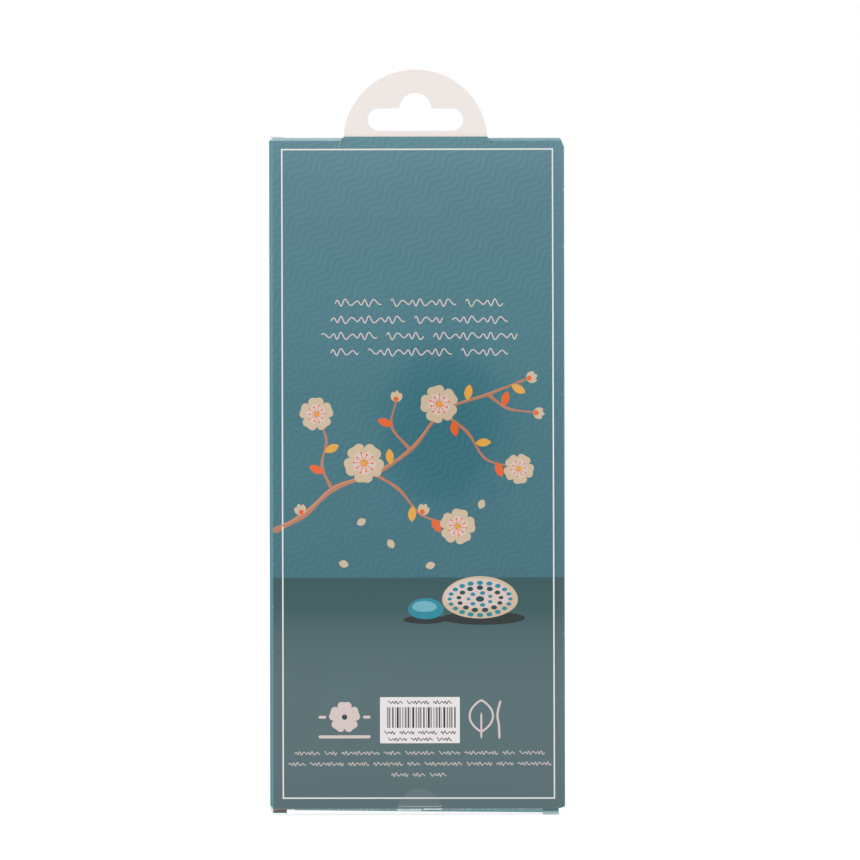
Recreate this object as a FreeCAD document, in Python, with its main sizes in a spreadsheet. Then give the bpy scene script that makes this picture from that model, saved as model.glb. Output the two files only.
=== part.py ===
import FreeCAD, Part
import math
import os
import Sketcher

# A sealed hang-sell folding carton of printed board, stood upright. Its large back panel
# faces -Y, its retail front faces +Y and +Z is up. X is the width. The origin is the middle
# of the width and of the depth, at the level of the lowest ear under the closing panel.

SIZES = (
    ("panel_width", 105.0, "back panel, crease to crease"),
    ("panel_height", 240.0, "back panel, raw bottom edge to lid"),
    ("carton_depth", 17.0, "back face to front face"),
    ("board", 0.45, "thickness of the board"),
    ("corner_radius", 0.8, "outer radius of the four upright creases"),
    ("end_radius", 0.45, "outer radius of the side panels' end creases"),
    ("tuck_gap", 0.12, "gap between a tucked flap and the panel outside it"),
    ("shoulder_run", 1.2, "slope of the right dust flap's shoulder, along the width"),
    ("shoulder_drop", 2.8, "the same slope's drop"),
    ("lid_left_inset", 0.35, "lid's left end in from the left crease"),
    ("lid_right_inset", 1.3, "lid's right end in from the right crease"),
    ("lid_crease", 1.0, "outer radius of the creases along the lid"),
    ("groove_depth", 1.6, "depth of the gap behind the front panel's raw top edge"),
    ("front_edge_drop", 0.15, "front panel's raw top edge below the lid"),
    ("lift_height", 0.75, "rise of the lid's lifted left end"),
    ("lift_length", 5.2, "length of the lid's lifted left end"),
    ("lift_inset", 1.4, "lifted end in from the lid's long creases"),
    ("slit_rise", 0.45, "raw edge in front of the hang tab above the lid"),
    ("flare_width", 0.25, "width of the flared cuts"),
    ("left_flare_drop", 3.4, "left flared cut below the lid"),
    ("left_flare_run", 1.1, "left flared cut outwards"),
    ("right_flare_drop", 2.0, "right flared cut below the lid"),
    ("right_flare_run", 1.4, "right flared cut outwards"),
    ("tab_shift", -0.8, "hang tab off the carton's middle"),
    ("tab_radius", 25.85, "outer arc of the hang tab"),
    ("tab_centre_drop", 1.4, "centre of the tab's arc below the lid"),
    ("tab_root", 6.0, "hang tab below the lid"),
    ("slot_length", 34.25, "euro slot, end to end"),
    ("slot_height", 8.0, "euro slot, bottom to top"),
    ("slot_rise", 2.55, "bottom of the euro slot above the lid"),
    ("bump_radius", 5.75, "half-round top of the euro slot"),
    ("bump_dip", 0.25, "centre of the half round below the slot's top"),
    ("bump_blend", 0.4, "rounding where the half round meets the slot"),
    ("ear_drop", 2.3, "right ear below the back panel's raw edge"),
    ("left_ear_drop", 1.43, "left ear below the back panel's raw edge"),
    ("left_ear_length", 5.0, "left ear along the width"),
    ("right_ear_length", 5.7, "right ear along the width"),
    ("left_ear_inset", 0.25, "left ear in from its upright crease"),
    ("right_ear_inset", 2.3, "right ear in from its upright crease"),
    ("corner_cut_run", 2.2, "cut right corner of the raw bottom edge, along it"),
    ("corner_cut_rise", 0.45, "the same corner's rise"),
    ("flap_inset", 0.5, "dust flaps above the back panel's raw edge"),
    ("closing_front_drop", 1.0, "front crease of the closing panel below that edge"),
    ("closing_left_drop", 0.45, "rear crease below that edge at the left"),
    ("closing_right_drop", 1.55, "rear crease below that edge at the right"),
    ("closing_crease", 0.9, "outer radius of the closing panel's creases"),
    ("seal_radius", 8.05, "round seal"),
    ("seal_film", 0.08, "thickness of the seal"),
    ("seal_shift", 0.25, "seal off the carton's middle"),
    ("seal_rise", 7.0, "top of the seal above the back panel's raw edge"),
    ("seal_bend", 0.95, "inner radius of the seal's fold"),
    ("seal_ease", 0.04, "extra radius of the seal's leaf under the closing panel"),
    ("seal_clearance", 0.02, "seal below the lowest of the closing panel over it"),
)

doc = FreeCAD.newDocument("hang_carton")
sheet = doc.addObject("Spreadsheet::Sheet", "sizes")
for row, (alias, size, meaning) in enumerate(SIZES, start=1):
    sheet.set(f"A{row}", meaning)
    sheet.set(f"B{row}", str(size))
    sheet.setAlias(f"B{row}", alias)
doc.recompute()

# Places that several features share, as expressions on the sheet.
LEFT = "-sizes.panel_width / 2"
RIGHT = "sizes.panel_width / 2"
BACK = "-sizes.carton_depth / 2"
FRONT = "sizes.carton_depth / 2"
RAW_EDGE = "sizes.ear_drop"
LID_TOP = "(sizes.ear_drop + sizes.panel_height)"
SHOULDER = f"({LID_TOP} - sizes.board - sizes.tuck_gap)"
FLAP_LEVEL = f"({RAW_EDGE} + sizes.flap_inset)"
BACK_INSIDE = f"({BACK} + sizes.board)"
FRONT_INSIDE = f"({FRONT} - sizes.board)"
LID_FRONT = f"({FRONT_INSIDE} - sizes.tuck_gap)"
TUCK_BACK = f"({BACK_INSIDE} + sizes.tuck_gap)"
INSIDE_TOP = f"({LID_TOP} - 2 * sizes.tab_root)"
INSIDE_BOTTOM = f"({RAW_EDGE} + 2 * sizes.closing_crease)"
FRONT_LEVEL = f"({RAW_EDGE} - sizes.closing_front_drop)"
LID_LEFT = f"({LEFT} + sizes.lid_left_inset)"
LID_RIGHT = f"({RIGHT} - sizes.lid_right_inset)"
LEFT_EAR_END = f"({LEFT} + sizes.left_ear_inset + sizes.left_ear_length)"
RIGHT_EAR_START = f"({RIGHT} - sizes.right_ear_inset - sizes.right_ear_length)"
TAB_LEFT = "(sizes.tab_shift - sizes.tab_radius)"
TAB_RIGHT = "(sizes.tab_shift + sizes.tab_radius)"


def measure(expression):
    """Returns the number that an expression on the sheet gives now."""
    return float(sheet.evalExpression(expression))


def new_body(label):
    """Adds an empty body with its own label."""
    body = doc.addObject("PartDesign::Body", label)
    body.Label = label
    return body


def new_sketch(body, name, plane, offset):
    """Attaches a sketch to one of the body's origin planes, moved along that plane's normal."""
    sketch = body.newObject("Sketcher::SketchObject", name)
    support = next(item for item in body.Origin.OriginFeatures if item.Role == plane)
    sketch.AttachmentSupport = [(support, "")]
    sketch.MapMode = "FlatFace"
    sketch.setExpression("AttachmentOffset.Base.z", offset)
    return sketch


def bind(sketch, constraint, expression):
    """Adds a constraint whose size follows an expression."""
    index = sketch.addConstraint(constraint)
    sketch.setExpression(f"Constraints[{index}]", expression)


def pin(sketch, curve, end, across, up):
    """Ties one point of a curve to two expressions, measured from the sketch's origin."""
    for kind, expression in (("DistanceX", across), ("DistanceY", up)):
        size = measure(expression)
        bind(sketch, Sketcher.Constraint(kind, -1, 1, curve, end, size), expression)


def rounded_corner(before, corner, after, radius):
    """Returns the two tangent points, the arc between them and whether it runs forwards."""
    towards_before = (before - corner).normalize()
    towards_after = (after - corner).normalize()
    half_angle = towards_before.getAngle(towards_after) / 2
    along = radius / math.tan(half_angle)
    first = corner + towards_before * along
    second = corner + towards_after * along
    inwards = (towards_before + towards_after).normalize()
    centre = corner + inwards * (radius / math.sin(half_angle))
    middle = centre - inwards * radius
    forwards = towards_before.cross(towards_after).z < 0
    ends = (first, second) if forwards else (second, first)
    return first, second, Part.Arc(ends[0], middle, ends[1]), forwards


def outline(body, name, plane, offset, corners):
    """Draws a closed outline. A corner is two expressions, and a third one rounds it."""
    sketch = new_sketch(body, name, plane, offset)
    points = [FreeCAD.Vector(measure(item[0]), measure(item[1]), 0) for item in corners]
    starts = list(points)
    finishes = points[1:] + points[:1]
    arcs = {}
    for index, item in enumerate(corners):
        if len(item) == 3:
            around = (points[index - 1], points[index], points[(index + 1) % len(points)])
            first, second, arc, forwards = rounded_corner(*around, measure(item[2]))
            finishes[index - 1] = first
            starts[index] = second
            arcs[index] = (arc, forwards)
    for start, finish in zip(starts, finishes):
        sketch.addGeometry(Part.LineSegment(start, finish), False)
    for side, item in enumerate(corners):
        before = (side - 1) % len(corners)
        if side not in arcs:
            sketch.addConstraint(Sketcher.Constraint("Coincident", before, 2, side, 1))
            pin(sketch, side, 1, item[0], item[1])
            continue
        arc, forwards = arcs[side]
        curve = sketch.addGeometry(arc, False)
        near_end, far_end = (1, 2) if forwards else (2, 1)
        sketch.addConstraint(Sketcher.Constraint("Tangent", before, 2, curve, near_end))
        sketch.addConstraint(Sketcher.Constraint("Tangent", side, 1, curve, far_end))
        bind(sketch, Sketcher.Constraint("Radius", curve, measure(item[2])), item[2])
        sharp = sketch.addGeometry(Part.Point(points[side]), True)
        sketch.addConstraint(Sketcher.Constraint("PointOnObject", sharp, 1, before))
        sketch.addConstraint(Sketcher.Constraint("PointOnObject", sharp, 1, side))
        pin(sketch, sharp, 1, item[0], item[1])
    return sketch


def add_circle(sketch, centre, radius):
    """Adds a circle whose centre and radius are expressions."""
    middle = FreeCAD.Vector(measure(centre[0]), measure(centre[1]), 0)
    upwards = FreeCAD.Vector(0, 0, 1)
    curve = sketch.addGeometry(Part.Circle(middle, upwards, measure(radius)), False)
    pin(sketch, curve, 3, *centre)
    bind(sketch, Sketcher.Constraint("Radius", curve, measure(radius)), radius)


def circle(body, name, plane, offset, centre, radius):
    """Draws a sketch of one circle."""
    sketch = new_sketch(body, name, plane, offset)
    add_circle(sketch, centre, radius)
    return sketch


def rectangle(body, name, plane, offset, low, high):
    """Draws a rectangle between two opposite corners."""
    corners = (low, (high[0], low[1]), high, (low[0], high[1]))
    return outline(body, name, plane, offset, corners)


def pad(body, name, sketch, length):
    """Adds material along the sketch's normal."""
    feature = body.newObject("PartDesign::Pad", name)
    feature.Profile = sketch
    feature.setExpression("Length", length)
    doc.recompute()
    return feature


def cut(body, name, sketch, length):
    """Removes material along the sketch's normal and checks that some came away."""
    before = body.Shape.Volume
    feature = body.newObject("PartDesign::Pocket", name)
    feature.Profile = sketch
    feature.Reversed = True
    feature.setExpression("Length", length)
    doc.recompute()
    if not body.Shape.Volume < before:
        raise RuntimeError(f"{name} removed nothing")
    return feature


def round_edges(body, name, radius, chosen):
    """Rounds the edges of the body's tip that the test picks out."""
    tip = body.Tip
    names = [
        f"Edge{number}"
        for number, edge in enumerate(tip.Shape.Edges, start=1)
        if chosen(edge)
    ]
    if not names:
        raise RuntimeError(f"{name} found no edge")
    feature = body.newObject("PartDesign::Fillet", name)
    feature.Base = (tip, names)
    feature.setExpression("Radius", radius)
    doc.recompute()
    return feature


def lies_along(edge, axis, **places):
    """True if a straight edge runs along an axis and its middle has the given places."""
    if edge.Curve.TypeId != "Part::GeomLine":
        return False
    near = 0.01
    if abs(getattr(edge.tangentAt(edge.FirstParameter), axis)) < 1 - near:
        return False
    middle = edge.CenterOfMass
    return all(abs(getattr(middle, name) - place) < near for name, place in places.items())


def build_sleeve(body):
    """The four panels between the end flaps, with rounded creases."""
    upright = "sizes.corner_radius"
    plan = outline(
        body,
        "sleeve_plan",
        "XY_Plane",
        FLAP_LEVEL,
        (
            (LEFT, BACK, upright),
            (RIGHT, BACK, upright),
            (RIGHT, FRONT, upright),
            (LEFT, FRONT, upright),
        ),
    )
    pad(body, "sleeve", plan, f"{SHOULDER} - {FLAP_LEVEL}")
    levels = (measure(FLAP_LEVEL), measure(SHOULDER))
    round_edges(
        body,
        "end_creases",
        "sizes.end_radius",
        lambda edge: any(abs(edge.CenterOfMass.z - level) < 0.01 for level in levels),
    )


def build_lid(body):
    """The lid, hinged on the back panel, with its tuck flap behind the front panel's raw edge."""
    profile = outline(
        body,
        "lid_profile",
        "YZ_Plane",
        LID_LEFT,
        (
            (BACK, INSIDE_TOP),
            (LID_FRONT, INSIDE_TOP),
            (LID_FRONT, LID_TOP, "sizes.lid_crease"),
            (BACK, LID_TOP, "sizes.lid_crease"),
        ),
    )
    pad(body, "lid", profile, f"{LID_RIGHT} - {LID_LEFT}")
    front = rectangle(
        body,
        "front_edge_profile",
        "YZ_Plane",
        f"{LEFT} + sizes.corner_radius",
        (FRONT_INSIDE, INSIDE_TOP),
        (FRONT, f"{LID_TOP} - sizes.front_edge_drop"),
    )
    pad(body, "front_edge", front, "sizes.panel_width - 2 * sizes.corner_radius")
    groove = rectangle(
        body,
        "front_groove_profile",
        "YZ_Plane",
        LEFT,
        (LID_FRONT, f"{LID_TOP} - sizes.groove_depth"),
        (FRONT_INSIDE, f"{LID_TOP} + sizes.board"),
    )
    cut(body, "front_groove", groove, "sizes.panel_width")
    lift = outline(
        body,
        "lift_profile",
        "XZ_Plane",
        f"-({LID_FRONT} - sizes.lift_inset)",
        (
            (LID_LEFT, f"{LID_TOP} - sizes.board"),
            (f"{LID_LEFT} + sizes.lift_length", f"{LID_TOP} - sizes.board"),
            (f"{LID_LEFT} + sizes.lift_length", LID_TOP),
            (LID_LEFT, f"{LID_TOP} + sizes.lift_height"),
        ),
    )
    pad(body, "lifted_end", lift, f"{LID_FRONT} - ({BACK}) - 2 * sizes.lift_inset")
    slope = outline(
        body,
        "shoulder_slope_face",
        "XZ_Plane",
        f"-({FRONT} + sizes.board)",
        (
            (f"{RIGHT} - sizes.shoulder_run", SHOULDER),
            (f"{RIGHT} + sizes.shoulder_run", f"{SHOULDER} - 2 * sizes.shoulder_drop"),
            (f"{RIGHT} + sizes.shoulder_run", f"{LID_TOP} + sizes.board"),
            (f"{RIGHT} - sizes.shoulder_run", f"{LID_TOP} + sizes.board"),
        ),
    )
    cut(body, "shoulder_slope", slope, "sizes.carton_depth + 2 * sizes.board")


def build_hang_tab(body):
    """The tab behind the slit, the raw edge in front of it, the flared cuts and the euro slot."""
    raw_edge = rectangle(
        body,
        "slit_edge_face",
        "XZ_Plane",
        f"-{BACK_INSIDE}",
        (TAB_LEFT, INSIDE_TOP),
        (TAB_RIGHT, f"{LID_TOP} + sizes.slit_rise"),
    )
    pad(body, "slit_edge", raw_edge, "sizes.board")

    inner_face = f"-({BACK_INSIDE} + sizes.board)"
    centre = ("sizes.tab_shift", f"{LID_TOP} - sizes.tab_centre_drop")
    root = rectangle(
        body,
        "tab_root_face",
        "XZ_Plane",
        inner_face,
        (TAB_LEFT, INSIDE_TOP),
        (TAB_RIGHT, centre[1]),
    )
    pad(body, "tab_root", root, "sizes.board")
    disc = circle(body, "tab_face", "XZ_Plane", inner_face, centre, "sizes.tab_radius")
    pad(body, "tab", disc, "sizes.board")

    through = "2 * sizes.board"
    slot_bottom = f"({LID_TOP} + sizes.slot_rise)"
    slot_top = f"({slot_bottom} + sizes.slot_height)"
    end_radius = "(sizes.slot_height / 2)"
    half_run = f"(sizes.slot_length / 2 - {end_radius})"
    slot = rectangle(
        body,
        "slot_middle",
        "XZ_Plane",
        inner_face,
        (f"sizes.tab_shift - {half_run}", slot_bottom),
        (f"sizes.tab_shift + {half_run}", slot_top),
    )
    cut(body, "slot", slot, through)
    for side, sign in (("left", "-"), ("right", "+")):
        middle = (f"sizes.tab_shift {sign} {half_run}", f"{slot_bottom} + {end_radius}")
        end = circle(body, f"slot_{side}_face", "XZ_Plane", inner_face, middle, end_radius)
        cut(body, f"slot_{side}_end", end, through)
    bump_centre = ("sizes.tab_shift", f"{slot_top} - sizes.bump_dip")
    bump = circle(body, "bump_face", "XZ_Plane", inner_face, bump_centre, "sizes.bump_radius")
    cut(body, "bump", bump, through)
    level = measure(slot_top)
    corner = (measure("sizes.bump_radius") ** 2 - measure("sizes.bump_dip") ** 2) ** 0.5
    places = [measure("sizes.tab_shift") + sign * corner for sign in (-1, 1)]
    round_edges(
        body,
        "bump_corners",
        "sizes.bump_blend",
        lambda edge: any(lies_along(edge, "y", x=place, z=level) for place in places),
    )
    build_flare(body, "left", TAB_LEFT, "-")
    build_flare(body, "right", TAB_RIGHT, "+")


def build_flare(body, side, start, sign):
    """One of the short cuts that run down and outwards from an end of the slit."""
    drop = f"sizes.{side}_flare_drop"
    run = f"sizes.{side}_flare_run"
    top = f"{LID_TOP} + 2 * sizes.slit_rise"
    low = f"{LID_TOP} - {drop}"
    face = outline(
        body,
        f"{side}_flare_face",
        "XZ_Plane",
        f"-{BACK_INSIDE}",
        (
            (f"{start}", top),
            (f"{start} {sign} sizes.flare_width", top),
            (f"{start} {sign} {run} {sign} sizes.flare_width", low),
            (f"{start} {sign} {run}", low),
        ),
    )
    cut(body, f"{side}_flare", face, "2 * sizes.board")


def build_closing_panel(body):
    """The bottom flap, hinged on the front panel, with its rolled rear crease and two ears."""
    skirt_left = f"{LEFT} + sizes.corner_radius / 2"
    skirt_right = f"{RIGHT} - sizes.corner_radius / 2"
    skirt = outline(
        body,
        "back_skirt_face",
        "XZ_Plane",
        f"-{BACK_INSIDE}",
        (
            (skirt_left, RAW_EDGE),
            (f"{RIGHT} - sizes.corner_cut_run", RAW_EDGE),
            (skirt_right, f"{RAW_EDGE} + sizes.corner_cut_rise"),
            (skirt_right, INSIDE_BOTTOM),
            (skirt_left, INSIDE_BOTTOM),
        ),
    )
    pad(body, "back_skirt", skirt, "sizes.board")

    crease = "sizes.closing_crease"
    sections = []
    for side, place in (("left", LEFT_EAR_END), ("right", RIGHT_EAR_START)):
        sections.append(
            outline(
                body,
                f"closing_{side}_section",
                "YZ_Plane",
                place,
                (
                    (TUCK_BACK, INSIDE_BOTTOM),
                    (TUCK_BACK, f"{RAW_EDGE} - sizes.closing_{side}_drop", crease),
                    (FRONT, FRONT_LEVEL, crease),
                    (FRONT, INSIDE_BOTTOM),
                ),
            )
        )
    loft = body.newObject("PartDesign::AdditiveLoft", "closing_panel")
    loft.Profile = sections[0]
    loft.Sections = sections[1:]
    loft.Ruled = True
    doc.recompute()

    build_ear(body, "left", f"{LEFT} + sizes.left_ear_inset", "sizes.left_ear_drop")
    build_ear(body, "right", RIGHT_EAR_START, "sizes.ear_drop")


def build_ear(body, side, start, drop):
    """One corner of the closing panel beyond the slit in its crease, unfolded and drooping."""
    tip = f"({RAW_EDGE} - {drop})"
    profile = outline(
        body,
        f"{side}_ear_profile",
        "YZ_Plane",
        start,
        (
            (FRONT, INSIDE_BOTTOM),
            (f"{TUCK_BACK} + sizes.closing_crease", INSIDE_BOTTOM),
            (f"{TUCK_BACK} + sizes.closing_crease", f"{RAW_EDGE} - sizes.board / 2"),
            (BACK, f"{tip} + sizes.board"),
            (BACK, tip),
            (f"{BACK} + 3 * sizes.closing_crease", FRONT_LEVEL),
            (FRONT, FRONT_LEVEL, "sizes.closing_crease"),
        ),
    )
    pad(body, f"{side}_ear", profile, f"sizes.{side}_ear_length")


def build_carton():
    """The whole folded and glued blank, taken as one closed solid with its contents."""
    body = new_body("carton")
    build_sleeve(body)
    build_lid(body)
    build_hang_tab(body)
    build_closing_panel(body)
    return body


def build_round_seal():
    """The clear disc, stuck to the back panel and folded under the closing panel."""
    body = new_body("round_seal")
    outer_back = f"({BACK} - sizes.seal_film)"
    middle = f"(({LEFT_EAR_END} + {RIGHT_EAR_START}) / 2)"
    slope = (
        "(abs(sizes.closing_right_drop - sizes.closing_left_drop)"
        f" / ({RIGHT_EAR_START} - {LEFT_EAR_END}))"
    )
    rear_drop = (
        "((sizes.closing_left_drop + sizes.closing_right_drop) / 2"
        f" + {slope} * (sizes.seal_radius + abs(sizes.seal_shift - {middle})))"
    )
    lowest_drop = f"max({rear_drop}; sizes.closing_front_drop)"
    fold_level = f"({RAW_EDGE} - {lowest_drop} - sizes.seal_clearance)"
    half_width = "(sizes.seal_radius + sizes.seal_bend)"
    far = f"({BACK} + 2 * sizes.seal_radius)"
    profile = outline(
        body,
        "film_profile",
        "YZ_Plane",
        f"sizes.seal_shift - {half_width}",
        (
            (BACK, f"{RAW_EDGE} + sizes.seal_rise + sizes.seal_bend"),
            (outer_back, f"{RAW_EDGE} + sizes.seal_rise + sizes.seal_bend"),
            (outer_back, f"{fold_level} - sizes.seal_film", "sizes.seal_bend + sizes.seal_film"),
            (far, f"{fold_level} - sizes.seal_film"),
            (far, fold_level),
            (BACK, fold_level, "sizes.seal_bend"),
        ),
    )
    pad(body, "film", profile, f"2 * {half_width}")
    trim_seal(body, fold_level)
    return body


def trim_seal(body, fold_level):
    """Trims both leaves of the film to the disc, allowing for the length of its fold.

    The under leaf's circle is a little larger, because two circles that nearly touch along
    the fold leave slivers that the cut can't resolve.
    """
    fold_saving = "(sizes.seal_bend * (2 - pi / 2))"
    centre_level = f"({RAW_EDGE} + sizes.seal_rise - sizes.seal_radius)"
    beyond = f"({centre_level} - {fold_level})"
    trims = (
        (
            "under_trim",
            "XY_Plane",
            f"({BACK} - {beyond} + {fold_saving})",
            "(sizes.seal_radius + sizes.seal_ease)",
        ),
        ("back_trim", "XZ_Plane", centre_level, "sizes.seal_radius"),
    )
    reach = "(4 * sizes.seal_radius)"
    for name, plane, level, radius in trims:
        waste = rectangle(
            body,
            f"{name}_face",
            plane,
            "0",
            (f"sizes.seal_shift - {reach}", f"{level} - {reach}"),
            (f"sizes.seal_shift + {reach}", f"{level} + {reach}"),
        )
        add_circle(waste, ("sizes.seal_shift", level), radius)
        feature = body.newObject("PartDesign::Pocket", name)
        feature.Profile = waste
        feature.Type = "ThroughAll"
        feature.Midplane = True
    doc.recompute()
    disc = measure("pi * sizes.seal_radius ^ 2 * sizes.seal_film")
    if abs(body.Shape.Volume - disc) > 0.05 * disc:
        raise RuntimeError(f"the seal has {body.Shape.Volume:.1f} of the disc's {disc:.1f} mm3")


def check_and_export(bodies):
    """Stops on any failed object or shape, then writes one STEP file for each body."""
    doc.recompute()
    for item in doc.Objects:
        if "Invalid" in item.State or "Error" in item.State:
            raise RuntimeError(f"{item.Name} failed: {item.State}")
    for body in bodies:
        if body.Shape.isNull() or not body.Shape.isValid():
            raise RuntimeError(f"{body.Label} has no valid shape")
        if len(body.Shape.Solids) != 1:
            raise RuntimeError(f"{body.Label} is {len(body.Shape.Solids)} solids")
    os.makedirs("parts", exist_ok=True)
    for body in bodies:
        body.Shape.exportStep(f"parts/{body.Label}.step")
        box = body.Shape.BoundBox
        print(
            f"{body.Label}: {box.XMin:.2f}..{box.XMax:.2f} {box.YMin:.2f}..{box.YMax:.2f}"
            f" {box.ZMin:.2f}..{box.ZMax:.2f} mm, {body.Shape.Volume:.1f} mm3"
        )


check_and_export([build_carton(), build_round_seal()])
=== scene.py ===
"""Looks of a sealed hang-sell carton seen from its back panel: print, bare board, clear seal, soft studio.

Lengths are in millimetres until a mesh is made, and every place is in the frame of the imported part:
x across the carton, y from the back panel (negative) to the retail front, z up.
"""

import logging
import math
from dataclasses import dataclass
from enum import Enum
from typing import Any, Optional, Sequence, Union

import bpy
import numpy as np
from mathutils import Matrix, Vector


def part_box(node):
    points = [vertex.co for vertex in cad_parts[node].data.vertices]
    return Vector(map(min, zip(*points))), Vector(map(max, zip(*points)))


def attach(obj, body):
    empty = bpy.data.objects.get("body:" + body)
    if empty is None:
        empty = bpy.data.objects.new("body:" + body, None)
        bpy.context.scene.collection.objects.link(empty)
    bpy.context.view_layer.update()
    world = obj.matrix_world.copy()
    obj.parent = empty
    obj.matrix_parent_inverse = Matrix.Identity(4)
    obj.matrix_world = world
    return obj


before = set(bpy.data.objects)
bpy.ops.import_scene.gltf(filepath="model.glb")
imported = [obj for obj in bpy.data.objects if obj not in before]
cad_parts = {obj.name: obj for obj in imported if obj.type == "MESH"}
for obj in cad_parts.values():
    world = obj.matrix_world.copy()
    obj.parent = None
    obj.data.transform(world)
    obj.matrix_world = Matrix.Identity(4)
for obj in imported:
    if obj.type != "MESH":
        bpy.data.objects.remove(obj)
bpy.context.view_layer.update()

LOG = logging.getLogger("carton")
MM = 0.001
BODY = "root"
TAU = 2 * math.pi
Rgb = tuple[float, float, float]
Point = tuple[float, float]
Mark = tuple[float, float, float]


def box_mm(node: str) -> tuple[np.ndarray, np.ndarray]:
    """Corners of a CAD node in millimetres.

    Args:
        node: the node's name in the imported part.

    Returns:
        Its lowest and its highest corner.
    """
    low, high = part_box(node)
    return np.array(low) / MM, np.array(high) / MM


CARTON_LOW, CARTON_HIGH = box_mm("carton")
SEAL_LOW, SEAL_HIGH = box_mm("round_seal")


@dataclass(frozen=True)
class CartonPlan:
    """The carton's levels and folds, worked out from its packed box and the board's few own sizes."""

    half_width: float = float(CARTON_HIGH[0])
    back: float = float(CARTON_LOW[1])
    front: float = float(CARTON_HIGH[1])
    ear_drop: float = 2.3
    panel_height: float = 240.0
    board: float = 0.45
    tuck_gap: float = 0.12
    lid_right_inset: float = 1.3
    front_edge_drop: float = 0.15
    tab_middle: float = -0.8
    tab_radius: float = 25.85
    slit_rise: float = 0.45

    @property
    def raw_edge(self) -> float:
        """Level of the back panel's cut lower edge."""
        return float(CARTON_LOW[2]) + self.ear_drop

    @property
    def lid_top(self) -> float:
        """Level of the lid's flat top."""
        return self.raw_edge + self.panel_height

    @property
    def shoulder(self) -> float:
        """Level of the dust flaps under the lid."""
        return self.lid_top - self.board - self.tuck_gap

    @property
    def back_inside(self) -> float:
        """Inner face of the back panel."""
        return self.back + self.board


@dataclass(frozen=True)
class SealPlan:
    """The round seal's place, worked out from its packed box, which its sides and its top touch."""

    left: float = float(SEAL_LOW[0])
    right: float = float(SEAL_HIGH[0])
    top: float = float(SEAL_HIGH[2])
    outer_face: float = float(SEAL_LOW[1])
    film: float = 0.08

    @property
    def radius(self) -> float:
        """The disc's radius."""
        return (self.right - self.left) / 2

    @property
    def middle(self) -> float:
        """The disc's middle across the carton."""
        return (self.left + self.right) / 2

    @property
    def level(self) -> float:
        """The level of the disc's middle."""
        return self.top - self.radius


PLAN = CartonPlan()
SEAL = SealPlan()


class Layer(Enum):
    """Ink layers on the back panel, by how far each stands proud of it, in millimetres."""

    GROUND = 0.016
    SHAPE = 0.024
    DETAIL = 0.032
    TOP = 0.040
    CROWN = 0.048


@dataclass(frozen=True)
class Shine:
    """How the studio light turns a pigment into what is seen on this carton."""

    light: float = 1.2
    veil: float = 0.044
    darkest: float = 0.002
    palest: float = 0.92

    @staticmethod
    def _light_of(share: np.ndarray) -> np.ndarray:
        """Light of a display value from 0 to 1: the value over 12.92 near black, else a power of 2.4."""
        return np.where(share <= 0.04045, share / 12.92, ((share + 0.055) / 1.055) ** 2.4)

    def pigment(self, seen: Rgb, matt: bool = False) -> tuple[float, float, float, float]:
        """The pigment that looks like a seen colour once light and the laminate's veil are added.

        Each channel is taken from display value to light, the veil is taken off, and the rest is divided
        by the light that falls on the panel.

        Args:
            seen: display colour, 0 to 255.
            matt: True for a surface without the laminate, which adds no veil.

        Returns:
            Linear red, green, blue and alpha.
        """
        veil = 0.0 if matt else self.veil
        linear = (self._light_of(np.array(seen, dtype=float) / 255) - veil) / self.light
        red, green, blue = np.clip(linear, self.darkest, self.palest)
        return (float(red), float(green), float(blue), 1.0)


SHINE = Shine()


class Ink(Enum):
    """Colours of the print, as they are seen in plain light. PANEL stands for the board's own finish."""

    PANEL = (94, 114, 118)
    FRAME = (229, 228, 226)
    PALE = (216, 200, 196)
    SMALL_PALE = (206, 194, 192)
    BRANCH = (185, 131, 107)
    BRANCH_LIGHT = (204, 150, 122)
    CREAM = (205, 186, 160)
    PINK = (215, 198, 192)
    CORAL = (226, 112, 72)
    AMBER = (226, 168, 88)
    TEAL = (58, 140, 160)
    PALE_TEAL = (118, 178, 190)
    DEEP_TEAL = (34, 82, 88)
    SHADOW = (62, 68, 68)
    LABEL = (234, 229, 229)
    BAR_DARK = (46, 41, 45)
    BAR_GREY = (142, 138, 144)


Operand = Union["Value", float]


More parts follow.
